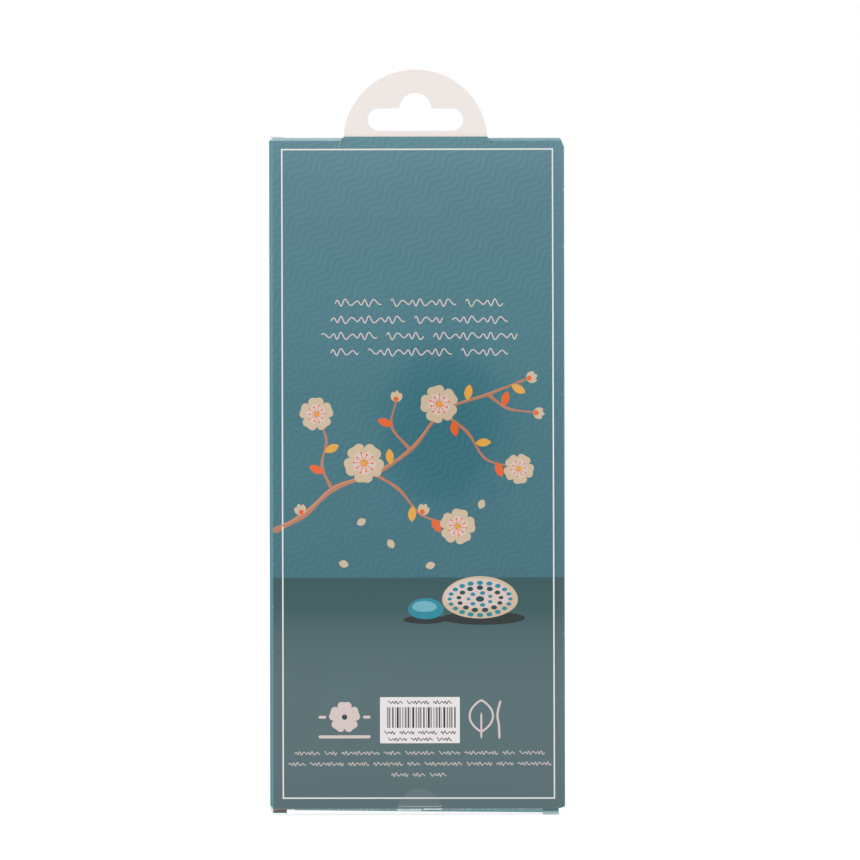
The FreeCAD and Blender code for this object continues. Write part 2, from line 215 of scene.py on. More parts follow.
class Value:
    """A shader number. Arithmetic on it adds Math nodes to its own sheet."""

    def __init__(self, sheet: "NodeSheet", socket: bpy.types.NodeSocket) -> None:
        """Wraps one output socket."""
        self.sheet = sheet
        self.socket = socket

    def math(self, operation: str, *others: Operand, clamp: bool = False) -> "Value":
        """This value as the first input of a Math node.

        Args:
            operation: the Math node's operation.
            others: its second and third inputs.
            clamp: True to keep the result from 0 to 1.

        Returns:
            The node's result.
        """
        return self.sheet.math(operation, self, *others, clamp=clamp)

    def __add__(self, other: Operand) -> "Value":
        """Sum."""
        return self.math("ADD", other)

    __radd__ = __add__

    def __mul__(self, other: Operand) -> "Value":
        """Product."""
        return self.math("MULTIPLY", other)

    __rmul__ = __mul__

    def __sub__(self, other: Operand) -> "Value":
        """Difference."""
        return self.math("SUBTRACT", other)

    def __rsub__(self, other: Operand) -> "Value":
        """Difference from a number."""
        return self.sheet.math("SUBTRACT", other, self)

    def size(self) -> "Value":
        """The value without its sign."""
        return self.math("ABSOLUTE")

    def most(self, other: Operand) -> "Value":
        """The greater of two values."""
        return self.math("MAXIMUM", other)

    def above(self, level: float, soft: float) -> "Value":
        """A smooth step that rises from 0 to 1 round a level.

        Args:
            level: where the step is half way.
            soft: how wide the step is.

        Returns:
            The step.
        """
        node = self.sheet.node(
            "ShaderNodeMapRange",
            {"interpolation_type": "SMOOTHSTEP"},
            {"Value": self, "From Min": level - soft / 2, "From Max": level + soft / 2},
        )
        return Value(self.sheet, node.outputs[0])

    def below(self, level: float, soft: float) -> "Value":
        """A smooth step that falls from 1 to 0 round a level."""
        return 1 - self.above(level, soft)

    def between(self, low: float, high: float, soft: float) -> "Value":
        """A smooth band, 1 between two levels."""
        return self.above(low, soft) * self.below(high, soft)


@dataclass(frozen=True)
class Spot:
    """The place that is being coloured, in millimetres, as three values and as one vector."""

    x: Value
    y: Value
    z: Value
    vector: bpy.types.NodeSocket


@dataclass(frozen=True)
class Step:
    """A soft step: its level, and how wide it is."""

    level: float
    soft: float

    def above(self, value: Value, start: float = 0.0) -> Value:
        """1 above the level, counted from a start."""
        return value.above(start + self.level, self.soft)

    def below(self, value: Value, start: float = 0.0) -> Value:
        """1 below the level, counted from a start."""
        return value.below(start + self.level, self.soft)


@dataclass(frozen=True)
class Band:
    """A band between two levels, and how wide its soft ends are."""

    low: float
    high: float
    soft: float

    def on(self, value: Value, start: float = 0.0) -> Value:
        """1 in the band, counted from a start."""
        return value.between(start + self.low, start + self.high, self.soft)


@dataclass(frozen=True)
class Grain:
    """A noise from 0 to 1: the size of its blots in millimetres, and how many finer layers it has."""

    pitch: float
    detail: float = 2.0

    def on(self, spot: Spot) -> Value:
        """The noise at a place.

        Args:
            spot: the place.

        Returns:
            The noise.
        """
        sheet = spot.x.sheet
        node = sheet.node(
            "ShaderNodeTexNoise",
            {"noise_dimensions": "3D"},
            {"Vector": spot.vector, "Scale": 1 / self.pitch, "Detail": self.detail},
        )
        return Value(sheet, node.outputs[0])


class NodeSheet:
    """One material's node tree, with the one method that adds nodes to it."""

    def __init__(self, name: str) -> None:
        """Makes an empty material.

        Args:
            name: the material's name.
        """
        self.material = bpy.data.materials.new(name)
        self.material.use_nodes = True
        self.tree = self.material.node_tree
        self.tree.nodes.clear()

    def node(
        self,
        kind: str,
        settings: Optional[dict[str, Any]] = None,
        inputs: Optional[dict[Union[str, int], Any]] = None,
    ) -> bpy.types.Node:
        """Adds a node.

        Args:
            kind: the node's type.
            settings: its properties, set first; "stops" sets a colour ramp.
            inputs: the value or link of each named or numbered socket.

        Returns:
            The new node.
        """
        made = self.tree.nodes.new(kind)
        for name, setting in (settings or {}).items():
            if name == "stops":
                self._set_stops(made.color_ramp, setting)
            else:
                setattr(made, name, setting)
        for name, given in (inputs or {}).items():
            socket = made.inputs[name]
            source = getattr(given, "socket", given)
            if isinstance(source, bpy.types.NodeSocket):
                self.tree.links.new(source, socket)
            else:
                socket.default_value = source
        return made

    @staticmethod
    def _set_stops(ramp: bpy.types.ColorRamp, stops: Sequence[tuple[float, Sequence[float]]]) -> None:
        """Gives a ramp its stops.

        Args:
            ramp: the ramp.
            stops: the place and the colour of each.
        """
        while len(ramp.elements) < len(stops):
            ramp.elements.new(1.0)
        for element, (place, colour) in zip(ramp.elements, stops):
            element.position = place
            element.color = colour

    def math(self, operation: str, *values: Operand, clamp: bool = False) -> Value:
        """Adds a Math node.

        Args:
            operation: its operation.
            values: its inputs, up to three.
            clamp: True to keep the result from 0 to 1.

        Returns:
            The node's result.
        """
        settings = {"operation": operation, "use_clamp": clamp}
        return Value(self, self.node("ShaderNodeMath", settings, dict(enumerate(values))).outputs[0])

    def blend(self, share: Operand, under: Any, over: Any, way: str = "MIX") -> bpy.types.NodeSocket:
        """Mixes two colours.

        Args:
            share: how much of the second colour shows.
            under: the first colour, a value or a link.
            over: the second colour, a value or a link.
            way: the Mix node's blend type.

        Returns:
            The mixed colour's socket.
        """
        settings = {"data_type": "RGBA", "blend_type": way}
        return self.node("ShaderNodeMix", settings, {0: share, 6: under, 7: over}).outputs[2]

    def grey(self, shade: Value) -> bpy.types.NodeSocket:
        """A colour whose three channels are one value."""
        return self.node("ShaderNodeCombineXYZ", inputs={0: shade, 1: shade, 2: shade}).outputs[0]

    def shaded(self, colour: Any, shade: Value) -> bpy.types.NodeSocket:
        """A colour times a value."""
        return self.blend(1.0, colour, self.grey(shade), "MULTIPLY")

    def place(self) -> Spot:
        """The place on the carton in millimetres, from Object coordinates.

        Returns:
            The place.
        """
        coordinates = self.node("ShaderNodeTexCoord").outputs["Object"]
        scaled = self.node("ShaderNodeVectorMath", {"operation": "SCALE"}, {0: coordinates, "Scale": 1 / MM})
        vector = scaled.outputs[0]
        parts = self.node("ShaderNodeSeparateXYZ", inputs={0: vector})
        return Spot(*(Value(self, socket) for socket in parts.outputs), vector)

    def principled(self, inputs: dict[str, Any]) -> bpy.types.Node:
        """A Principled node with a value or link for each named socket."""
        return self.node("ShaderNodeBsdfPrincipled", inputs=inputs)

    def finish(self, shader: bpy.types.Node) -> bpy.types.Material:
        """Links a shader to the output.

        Args:
            shader: the last node.

        Returns:
            The material.
        """
        output = self.node("ShaderNodeOutputMaterial")
        self.tree.links.new(shader.outputs[0], output.inputs["Surface"])
        return self.material


@dataclass(frozen=True)
class Laminate:
    """The thin gloss film over all the print, with a slow swell and a fine tooth."""

    roughness: float = 0.04
    bare_roughness: float = 0.62
    swell: Grain = Grain(16.0, 1.0)
    swell_height: float = 0.010
    tooth: Grain = Grain(0.35)
    tooth_height: float = 0.0004

    def relief(self, spot: Spot, extra: Optional[Value] = None) -> bpy.types.NodeSocket:
        """The film's relief, as a normal.

        Height is a slow noise for the board's swell and a fine one for its tooth, in millimetres.

        Args:
            spot: the place.
            extra: more height in millimetres, if any.

        Returns:
            The socket of the bumped normal.
        """
        height = self.swell.on(spot) * self.swell_height + self.tooth.on(spot) * self.tooth_height
        if extra is not None:
            height = height + extra
        bump = spot.x.sheet.node("ShaderNodeBump", inputs={"Distance": MM, "Height": height})
        return bump.outputs[0]

    def shader(self, sheet: NodeSheet, colour: Any, normal: Any, bare: Operand = 0.0) -> bpy.types.Node:
        """The print under its film.

        Args:
            sheet: the material's node sheet.
            colour: the pigment under the film.
            normal: the bumped normal.
            bare: 1 where there is no film, as on cut board.

        Returns:
            The Principled node.
        """
        rough = bare * (self.bare_roughness - self.roughness) + self.roughness
        return sheet.principled({"Base Color": colour, "Roughness": rough, "Normal": normal})


@dataclass(frozen=True)
class WavyLines:
    """The common pattern of diagonal wavy lines, one tone lighter and darker than its field."""

    angle: float = math.radians(45.33)
    spacing: float = 2.491
    wavelength: float = 10.94
    swing: float = 3.11
    wave_start: float = 4.768
    line_start: float = -2.193
    edge: Step = Step(0.12, 1.4)

    def tone(self, across: Value, up: Value) -> Value:
        """Tone of the lines, -1 in a dark line and 1 in a light one.

        With u along the diagonal and v across it, the tone is the sine-shaped wave of
        v / spacing + swing * sin(u / wavelength), steepened towards a flat-topped band.

        Args:
            across: distance round the carton in millimetres.
            up: height in millimetres.

        Returns:
            The tone.
        """
        cosine, sine = math.cos(self.angle), math.sin(self.angle)
        along = across * cosine + up * sine
        over = up * cosine - across * sine
        bend = (along * (TAU / self.wavelength) + self.wave_start).math("SINE") * self.swing
        wave = (over * (TAU / self.spacing) + bend + self.line_start).math("COSINE")
        return self.edge.above(wave) * 2 - 1


@dataclass(frozen=True)
class PrintedFields:
    """The two printed fields, one over the other: their tones by height, the lines and the unevenness."""

    lines: WavyLines = WavyLines()
    line_contrast: float = 0.045
    border: float = 84.95
    # Tones grow lighter towards the top: a printed gradient with painted light from above in it.
    upper_tones: tuple[tuple[float, Rgb], ...] = (
        (242.0, (103, 140, 150)),
        (226.0, (96, 133, 144)),
        (195.0, (90, 130, 140)),
        (165.0, (86, 127, 137)),
        (150.0, (82, 124, 134)),
        (110.0, (80, 122, 133)),
        (85.0, (78, 118, 129)),
    )
    lower_tones: tuple[tuple[float, Rgb], ...] = (
        (85.0, (69, 96, 99)),
        (74.0, (73, 100, 102)),
        (66.0, (86, 109, 112)),
        (54.0, (93, 114, 117)),
        (44.0, (96, 117, 120)),
        (0.0, (94, 114, 118)),
    )
    field_edge: Step = Step(0.0, 0.12)
    line_edge: Step = Step(0.0, 0.1)
    lid_turn: Step = Step(-0.3, 0.6)
    mottle: Grain = Grain(2.2, 3.0)
    mottle_depth: float = 0.05
    cloud: Grain = Grain(30.0, 1.0)
    cloud_depth: float = 0.06
    margin_tone: Rgb = (205, 196, 190)
    margin: Step = Step(49.5, 2.0)
    right_margin_share: float = 0.028
    left_margin_share: float = 0.008
    margin_fade: Step = Step(-60.0, 80.0)

    @staticmethod
    def _ladder(spot: Spot, tones: Sequence[tuple[float, Rgb]]) -> bpy.types.NodeSocket:
        """A field's colour by height, blended between a few named tones.

        Args:
            spot: the place.
            tones: levels and the tone seen at each.

        Returns:
            The colour's socket.
        """
        stops = sorted((level / PLAN.lid_top, SHINE.pigment(tone)) for level, tone in tones)
        height = spot.z * (1 / PLAN.lid_top)
        return spot.z.sheet.node("ShaderNodeValToRGB", {"stops": stops}, {0: height}).outputs[0]

    def colour(self, spot: Spot) -> bpy.types.NodeSocket:
        """The dark field's colour below the border and the light one's above it.

        Args:
            spot: the place.

        Returns:
            The colour's socket.
        """
        over = self.field_edge.above(spot.z, self.border)
        lower = self._ladder(spot, self.lower_tones)
        return spot.z.sheet.blend(over, lower, self._ladder(spot, self.upper_tones))

    def shade(self, spot: Spot) -> Value:
        """What the fields are multiplied with: the wavy lines of the light one, and a mottle over both.

        The lines run round the carton's sides as across + depth, and over the lid as height + depth.

        Args:
            spot: the place.

        Returns:
            The shade, about 1.
        """
        on_lid = self.lid_turn.above(spot.z, PLAN.lid_top)
        depth = spot.y - PLAN.back
        tone = self.lines.tone(spot.x + depth * (1 - on_lid), spot.z + depth * on_lid)
        lines = tone * self.line_edge.above(spot.z, self.border) * self.line_contrast
        mottle = (self.mottle.on(spot) - 0.5) * self.mottle_depth
        return lines + mottle + (self.cloud.on(spot) - 0.5) * self.cloud_depth + 1.0

    def margins(self, spot: Spot) -> tuple[Value, Rgb]:
        """The pale margins beside the frame line, which fade out downwards.

        Args:
            spot: the place.

        Returns:
            The mask and its tone.
        """
        right = self.margin.above(spot.x) * self.right_margin_share
        left = self.margin.above(spot.x * -1) * self.left_margin_share
        return (right + left) * self.margin_fade.above(spot.z, self.border), self.margin_tone


@dataclass(frozen=True)
class WearAndCreaseHighlight:
    """What handling left on the print: worn folds, scuffs, a fleck here and there; and a painted highlight on
    the lid's crease.
    """

    worn_tone: Rgb = (190, 205, 203)
    fold_inset: float = 0.22
    fold: Step = Step(0.12, 0.2)
    fold_share: float = 0.1
    scuff_grain: Grain = Grain(1.7, 4.0)
    scuff: Step = Step(0.68, 0.06)
    scuff_reach: Step = Step(0.3, 0.3)
    scuff_share: float = 0.7
    low_crease: Band = Band(-0.55, -0.12, 0.2)
    fleck_grain: Grain = Grain(0.9, 3.0)
    fleck: Step = Step(0.55, 0.2)
    fleck_share: float = 0.6
    low_crease_share: float = 0.12
    # Painted highlight: a pale band along the lid's crease, where the rounded crease catches light from
    # above.
    crease_highlight_tone: Rgb = (182, 203, 211)
    crease_highlight_band: Band = Band(-1.05, -0.1, 0.35)
    crease_highlight_depth: Step = Step(0.9, 0.1)
    left_highlight: Step = Step(-27.3, 0.6)
    left_highlight_share: float = 0.72
    right_highlight: Band = Band(25.5, PLAN.half_width - 1.0, 1.5)
    right_highlight_share: float = 0.34
    highlight_streaks: Grain = Grain(6.0, 2.0)
    highlight_streak_share: float = 0.5
    highlight_streak_least: float = 0.72
    cut_tone: Rgb = (142, 170, 178)
    cut_from_slit: float = 0.48
    cut_slope: float = 0.256
    cut_flank: Band = Band(-0.4, 0.0, 0.12)
    cut_height: Band = Band(-3.4, -1.1, 0.3)
    cut_end: Band = Band(-3.3, -3.0, 0.2)
    cut_end_width: Band = Band(-1.8, 1.1, 0.5)
    cut_end_share: float = 0.45
    on_panel: Step = Step(0.05, 0.03)

    def _worn(self, spot: Spot, underside: Value) -> Value:
        """Wear on the upright folds and flecks on the closing panel's crease.

        Args:
            spot: the place.
            underside: 1 on the closing panel.

        Returns:
            The mask.
        """
        inner_x, inner_y = PLAN.half_width - self.fold_inset, PLAN.front - self.fold_inset
        corner = ((spot.x.size() - inner_x) + (spot.y.size() - inner_y)).size()
        fold = self.fold.below(corner) * self.fold_share
        spots = self.scuff.above(self.scuff_grain.on(spot))
        scuffs = spots * self.scuff_reach.below(corner) * self.scuff_share
        flecks = self.fleck.above(self.fleck_grain.on(spot)) * self.fleck_share + self.low_crease_share
        crease = self.low_crease.on(spot.z, PLAN.raw_edge) * underside
        return fold.most(scuffs).most(crease * flecks)

    def _crease_highlight(self, spot: Spot) -> Value:
        """Painted highlight on the lid's crease, left and right of the slit, in slow streaks.

        Args:
            spot: the place.

        Returns:
            The mask.
        """
        on_crease = self.crease_highlight_band.on(spot.z, PLAN.lid_top) * self.crease_highlight_depth.below(spot.y, PLAN.back)
        left = self.left_highlight.below(spot.x) * self.left_highlight_share
        right = self.right_highlight.on(spot.x) * self.right_highlight_share
        return on_crease * (left + right) * (self.highlight_streaks.on(spot) * self.highlight_streak_share + self.highlight_streak_least)

    def _left_cut(self, spot: Spot) -> Value:
        """The pale worn flank of the left flared cut, and the short crease across its end.

        The cut's line is x = the slit's end - cut_from_slit + cut_slope * (z - the lid's level).

        Args:
            spot: the place.

        Returns:
            The mask.
        """
        below_lid = spot.z - PLAN.lid_top
        slit_end = PLAN.tab_middle - PLAN.tab_radius
        beside = spot.x - (below_lid * self.cut_slope + (slit_end - self.cut_from_slit))
        flank = self.cut_flank.on(beside) * self.cut_height.on(below_lid)
        end = self.cut_end.on(below_lid) * self.cut_end_width.on(beside) * self.cut_end_share
        return flank.most(end) * self.on_panel.below(spot.y, PLAN.back)

    def marks(self, spot: Spot, underside: Value) -> list[tuple[Value, Rgb]]:
        """All the wear, and the painted highlight on the lid's crease.

        Args:
            spot: the place.
            underside: 1 on the closing panel.

        Returns:
            Masks with their tones, in the order in which they cover one another.
        """
        return [
            (self._worn(spot, underside), self.worn_tone),
            (self._crease_highlight(spot), self.crease_highlight_tone),
            (self._left_cut(spot), self.cut_tone),
        ]


@dataclass(frozen=True)
class BareBoard:
    """Board without print: the tab's unprinted side, the cut edges, and the two ears under the panel."""

    skin: float = 0.03
    white: Rgb = (246, 242, 242)
    fibre_tone: Rgb = (236, 228, 226)
    fibre_least: float = 0.12
    fibre_swing: float = 0.35
    core: Rgb = (200, 184, 172)
    core_fibre_tone: Rgb = (226, 215, 205)
    tab_ease: float = 0.3
    tab_from: float = 0.1
    lid_end_from: float = 0.1
    lifted_to: float = -46.9
    lifted_from: float = 0.05
    lifted_layer: tuple[float, float] = (-8.0, -6.9)
    ear_from: float = 44.4
    ear_top: Step = Step(-0.12, 0.06)
    ear_depth: Step = Step(1.7, 0.1)
    # Painted shade: the left ear's raw edge is browner on its lower side, where shade falls.
    brown_edge_line: Step = Step(1.5, 0.12)
    edge_and_shade_tone: Rgb = (176, 140, 120)
    left_ear_inside: Step = Step(1.84, 0.12)
    right_ear_edge: Step = Step(0.95, 0.24)
    right_ear_tone: Rgb = (160, 182, 178)
    # Painted light: lighter than the print, to offset the shade under the panel.
    right_ear_lightened_tone: Rgb = (124, 174, 183)

    def _by_tab(self, x: Value) -> Value:
        """1 across the tab's width."""
        return (x - PLAN.tab_middle).size().below(PLAN.tab_radius + self.tab_ease, self.skin)

    def _tab(self, spot: Spot) -> Value:
        """The tab's unprinted side, and the lid's where its left end is lifted.

        Args:
            spot: the place.

        Returns:
            The mask.
        """
        x, y, z, skin = spot.x, spot.y, spot.z, self.skin
        inner = (PLAN.back_inside - skin, PLAN.back_inside + PLAN.board - skin)
        tab = self._by_tab(x) * y.between(*inner, skin) * z.above(PLAN.lid_top + self.tab_from, skin)
        raised = z.above(PLAN.lid_top + self.lifted_from, skin)
        lifted = x.below(self.lifted_to, skin) * raised * y.between(*self.lifted_layer, skin)
        return tab.most(lifted)

    def _edges(self, spot: Spot) -> Value:
        """The cut edges: over the slit, under the back panel, on the lid's front and at its right end.

        Args:
            spot: the place.

        Returns:
            The mask.
        """
        x, y, z, skin = spot.x, spot.y, spot.z, self.skin
        back_layer = y.below(PLAN.back_inside, skin)
        slit = self._by_tab(x) * back_layer * z.above(PLAN.lid_top + PLAN.slit_rise - skin, skin)
        hem = back_layer * z.between(PLAN.raw_edge - skin, PLAN.raw_edge + skin, skin)
        lip_level = PLAN.lid_top - PLAN.front_edge_drop - skin
        front_lip = y.above(PLAN.front - PLAN.board, skin) * z.above(lip_level, skin)
        lid_end = x.above(PLAN.half_width - PLAN.lid_right_inset - skin, skin)
        lid_end = lid_end * z.above(PLAN.shoulder + self.lid_end_from, skin)
        return (slit + hem + front_lip + lid_end).math("MINIMUM", 1.0)

    def _ears(self, spot: Spot) -> list[tuple[Value, Rgb]]:
        """The two ears, which droop beyond the slits in the closing panel's crease.

        The left ear shows its unprinted inside over a brown line of raw edge, darkened with painted shade on
        its lower side. The right ear shows its print over its cut end, the print lightened with painted light
        against the shade under the panel.

        Args:
            spot: the place.

        Returns:
            Masks with their tones, in the order in which they cover one another.
        """
        low = self.ear_top.below(spot.z, PLAN.raw_edge) * self.ear_depth.below(spot.y, PLAN.back)
        left = spot.x.below(-self.ear_from, self.skin) * low
        right = spot.x.above(self.ear_from, self.skin) * low
        return [
            (left * self.brown_edge_line.above(spot.z), self.edge_and_shade_tone),
            (left * self.left_ear_inside.above(spot.z), self.white),
            (right, self.right_ear_lightened_tone),
            (right * self.right_ear_edge.below(spot.z), self.right_ear_tone),
        ]

    def coats(self, spot: Spot, fibres: Value) -> list[tuple[Value, Any]]:
        """All the bare board.

        Args:
            spot: the place.
            fibres: noise of the board's fibres.

        Returns:
            Masks with their pigments, in the order in which they cover one another.
        """
        tones = (self.white, self.fibre_tone, self.core, self.core_fibre_tone)
        white, fibre, core, core_fibre = (SHINE.pigment(tone, matt=True) for tone in tones)
        blend = spot.x.sheet.blend
        paper = blend((fibres - 0.5) * self.fibre_swing + self.fibre_least, white, fibre)
        coats = [(self._tab(spot), paper), (self._edges(spot), blend(fibres, core, core_fibre))]
        return coats + [(mask, SHINE.pigment(tone, matt=True)) for mask, tone in self._ears(spot)]


@dataclass(frozen=True)
class PrintedBoard:
    """The carton's whole finish: printed fields, wear, a painted crease highlight, bare board, matt sides
    with painted reflection, and haze under the seal.
    """

    laminate: Laminate = Laminate()
    fields: PrintedFields = PrintedFields()
    wear_and_highlight: WearAndCreaseHighlight = WearAndCreaseHighlight()
    bare_board: BareBoard = BareBoard()
    # Painted reflection: the print's tone on the sides, made lighter to stand in for the gloss that the matt
    # sides lack.
    side_print_and_reflection_tone: Rgb = (97, 147, 157)
    side_roughness: float = 0.8
    side_turn: Step = Step(-0.24, 0.06)
    underside_top: Step = Step(-0.02, 0.04)
    underside_from: Step = Step(0.05, 0.05)
    film_haze: float = 0.034
    fibres: Grain = Grain(0.25, 3.0)
    fibre_height: float = 0.01

    def material(self) -> bpy.types.Material:
        """The carton's material.

        Print comes first, then wear, the painted crease highlight and haze over it, then bare board over all.
        The narrow sides are matt, and their lighter tone, which the closing panel shares, is painted
        reflection.

        Returns:
            The material.
        """
        sheet = NodeSheet("printed_board")
        spot = sheet.place()
        sides = self.side_turn.above(spot.x.size(), PLAN.half_width)
        underside = self.underside_top.below(spot.z, PLAN.raw_edge)
        underside = underside * self.underside_from.above(spot.y, PLAN.back_inside)

        colour = self.fields.colour(spot)
        # The sides and the closing panel take the lighter tone: print with painted reflection.
        colour = sheet.blend(sides.most(underside), colour, SHINE.pigment(self.side_print_and_reflection_tone, matt=True))
        colour = sheet.shaded(colour, self.fields.shade(spot))
        under_seal = spot.y.below(PLAN.back - Layer.GROUND.value / 2, Layer.GROUND.value / 4)
        haze = (under_seal * self.film_haze, self.bare_board.white)
        for mask, tone in (self.fields.margins(spot), *self.wear_and_highlight.marks(spot, underside), haze):
            colour = sheet.blend(mask, colour, SHINE.pigment(tone))

        fibres = self.fibres.on(spot)
        coats = self.bare_board.coats(spot, fibres)
        bare = coats[0][0]
        for mask, pigment in coats:
            colour = sheet.blend(mask, colour, pigment)
            bare = bare.most(mask)

        normal = self.laminate.relief(spot, bare * fibres * self.fibre_height)
        glossy = self.laminate.shader(sheet, colour, normal, bare)
        matt = {"Roughness": self.side_roughness, "Specular IOR Level": 0.0}
        plain = sheet.principled({"Base Color": colour, "Normal": normal, **matt})
        shaders = {0: sides, 1: glossy.outputs[0], 2: plain.outputs[0]}
        return sheet.finish(sheet.node("ShaderNodeMixShader", inputs=shaders))


@dataclass(frozen=True)
class PrintInk:
    """A spot of ink under the same film as the rest of the print."""

    ink: Ink
    mottle: Grain = Grain(0.8, 3.0)
    mottle_depth: float = 0.06
    laminate: Laminate = Laminate()

    def material(self) -> bpy.types.Material:
        """The ink's pigment with a fine press mottle.

        Returns:
            The material.
        """
        sheet = NodeSheet(f"ink_{self.ink.name.lower()}")
        spot = sheet.place()
        shade = (self.mottle.on(spot) - 0.5) * self.mottle_depth + 1.0
        colour = sheet.shaded(SHINE.pigment(self.ink.value), shade)
        return sheet.finish(self.laminate.shader(sheet, colour, self.laminate.relief(spot)))


@dataclass(frozen=True)
class ClearFilm:
    """The clear seal: nearly unseen on the panel, whiter at its rim and where it bends, with two painted
    glints where it turns under.

    Its inner face lies on the panel and is left wholly clear, so that the two never mix.
    """

    roughness: float = 0.12
    clear_tone: Rgb = (0.228, 0.313, 0.351)
    # Painted highlights: the tones of the two glints where the film turns under the carton.
    left_glint_tone: Rgb = (0.72, 0.88, 0.95)
    right_glint_tone: Rgb = (0.86, 0.92, 0.94)
    clear_share: float = 0.03
    tinted: Step = Step(0.06, 0.08)
    rim: Step = Step(-0.25, 0.2)
    rim_share: float = 0.03
    bend: Band = Band(2.85, 3.3, 0.3)
    bend_share: float = 0.17
    fold: Step = Step(2.25, 0.2)
    fold_share: float = 0.55
    patches: Grain = Grain(3.0, 1.0)
    patch: Step = Step(0.45, 0.3)
    patch_share: float = 0.4
    left_glint: Step = Step(0.9, 0.8)
    left_glint_from: Step = Step(1.5, 0.3)
    left_glint_share: float = 0.62
    right_glint: Step = Step(1.6, 0.8)
    right_glint_from: Step = Step(1.95, 0.15)
    right_glint_share: float = 1.3
    inner_face: Step = Step(SEAL.film / 2, 0.01)
    bend_top: Step = Step(2.15, 0.02)

    def _whiter_and_glints(self, spot: Spot) -> Value:
        """How white the film is: at its rim, over the bend, and in two painted glints (painted highlights)
        where it turns under.

        Args:
            spot: the place.

        Returns:
            The share of white.
        """
        x, z = spot.x - SEAL.middle, spot.z - SEAL.level
        rim = self.rim.above((x * x + z * z).math("SQRT"), SEAL.radius) * self.rim_share
        bend = self.bend.on(spot.z) * self.bend_share
        left = self.left_glint.below(spot.x) * self.left_glint_from.above(spot.z) * self.left_glint_share
        right = self.right_glint.above(spot.x) * self.right_glint_from.above(spot.z) * self.right_glint_share
        patches = self.patch.above(self.patches.on(spot)) * self.patch_share + (1 - self.patch_share)
        # Painted glints, in patches, below the fold.
        fold = self.fold.below(spot.z) * patches * (left + right) * self.fold_share
        return rim.most(bend).most(fold)

    def material(self) -> bpy.types.Material:
        """The film, its alpha raised where it is whiter and at its painted glints.

        Returns:
            The material.
        """
        sheet = NodeSheet("clear_film")
        spot = sheet.place()
        whiter_and_glints = self._whiter_and_glints(spot)
        stuck = self.inner_face.above(spot.y, SEAL.outer_face) * self.bend_top.above(spot.z)
        share = (whiter_and_glints + self.clear_share) * (1 - stuck)
        glint = sheet.blend(self.left_glint.above(spot.x), (*self.left_glint_tone, 1), (*self.right_glint_tone, 1))
        colour = sheet.blend(self.tinted.above(whiter_and_glints), (*self.clear_tone, 1), glint)
        look = {"Base Color": colour, "Roughness": self.roughness, "Alpha": share}
        return sheet.finish(sheet.principled(look))


@dataclass(frozen=True)
class FlatShape:
    """A flat shape on the back panel, its faces counter-clockwise as seen from behind the carton."""

    points: np.ndarray
    faces: list[list[int]]
    steps: Optional[np.ndarray] = None

    @staticmethod
    def joined(shapes: Sequence["FlatShape"], step_count: int = 7) -> "FlatShape":
        """Several shapes as one, their faces renumbered, each on its own step.

        Args:
            shapes: the shapes, which follow one another in level.
            step_count: how many steps they run through before they start again.

        Returns:
            The one shape.
        """
        starts = np.cumsum([0] + [len(shape.points) for shape in shapes])
        faces = [
            [start + corner for corner in face]
            for start, shape in zip(starts.tolist(), shapes)
            for face in shape.faces
        ]
        steps = [np.full(len(shape.points), number % step_count) for number, shape in enumerate(shapes)]
        return FlatShape(np.concatenate([shape.points for shape in shapes]), faces, np.concatenate(steps))


def lap_of(count: int) -> np.ndarray:
    """Angles of so many even steps once round, in radians."""
    return np.linspace(0.0, TAU, count + 1)[:-1]


def grid_faces(rows: int, columns: int, closed: bool = False) -> list[list[int]]:
    """Quads of a grid whose points run along each row in turn.

    Args:
        rows: rows of points.
        columns: points in a row.
        closed: True if each row's last point meets its first.

    Returns:
        The corner numbers of each quad.
    """
    numbers = np.arange(rows * columns).reshape(rows, columns)
    if closed:
        numbers = np.concatenate([numbers, numbers[:, :1]], axis=1)
    quads = np.stack([numbers[:-1, :-1], numbers[1:, :-1], numbers[1:, 1:], numbers[:-1, 1:]], axis=-1)
    return quads.reshape(-1, 4).tolist()


def fan(outline: np.ndarray, rings: int = 3, innermost: float = 0.2) -> FlatShape:
    """A closed outline filled from its middle.

    A point is middle + share * (outline - middle), with share in even steps from the outline inwards, and
    one many-sided face closes the innermost ring.

    Args:
        outline: its points in order, either way round.
        rings: rings of quads between the outline and the middle.
        innermost: the innermost ring's share.

    Returns:
        The filled shape.
    """
    ahead = np.roll(outline, -1, axis=0)
    if np.sum(outline[:, 0] * ahead[:, 1] - outline[:, 1] * ahead[:, 0]) < 0:
        outline = outline[::-1]
    middle = outline.mean(axis=0)
    shares = np.linspace(1.0, innermost, rings + 1)
    points = middle + shares[:, None, None] * (outline - middle)
    count = len(outline)
    faces = [quad[::-1] for quad in grid_faces(rings + 1, count, closed=True)]
    faces.append(list(range(rings * count, (rings + 1) * count)))
    return FlatShape(points.reshape(-1, 2), faces)


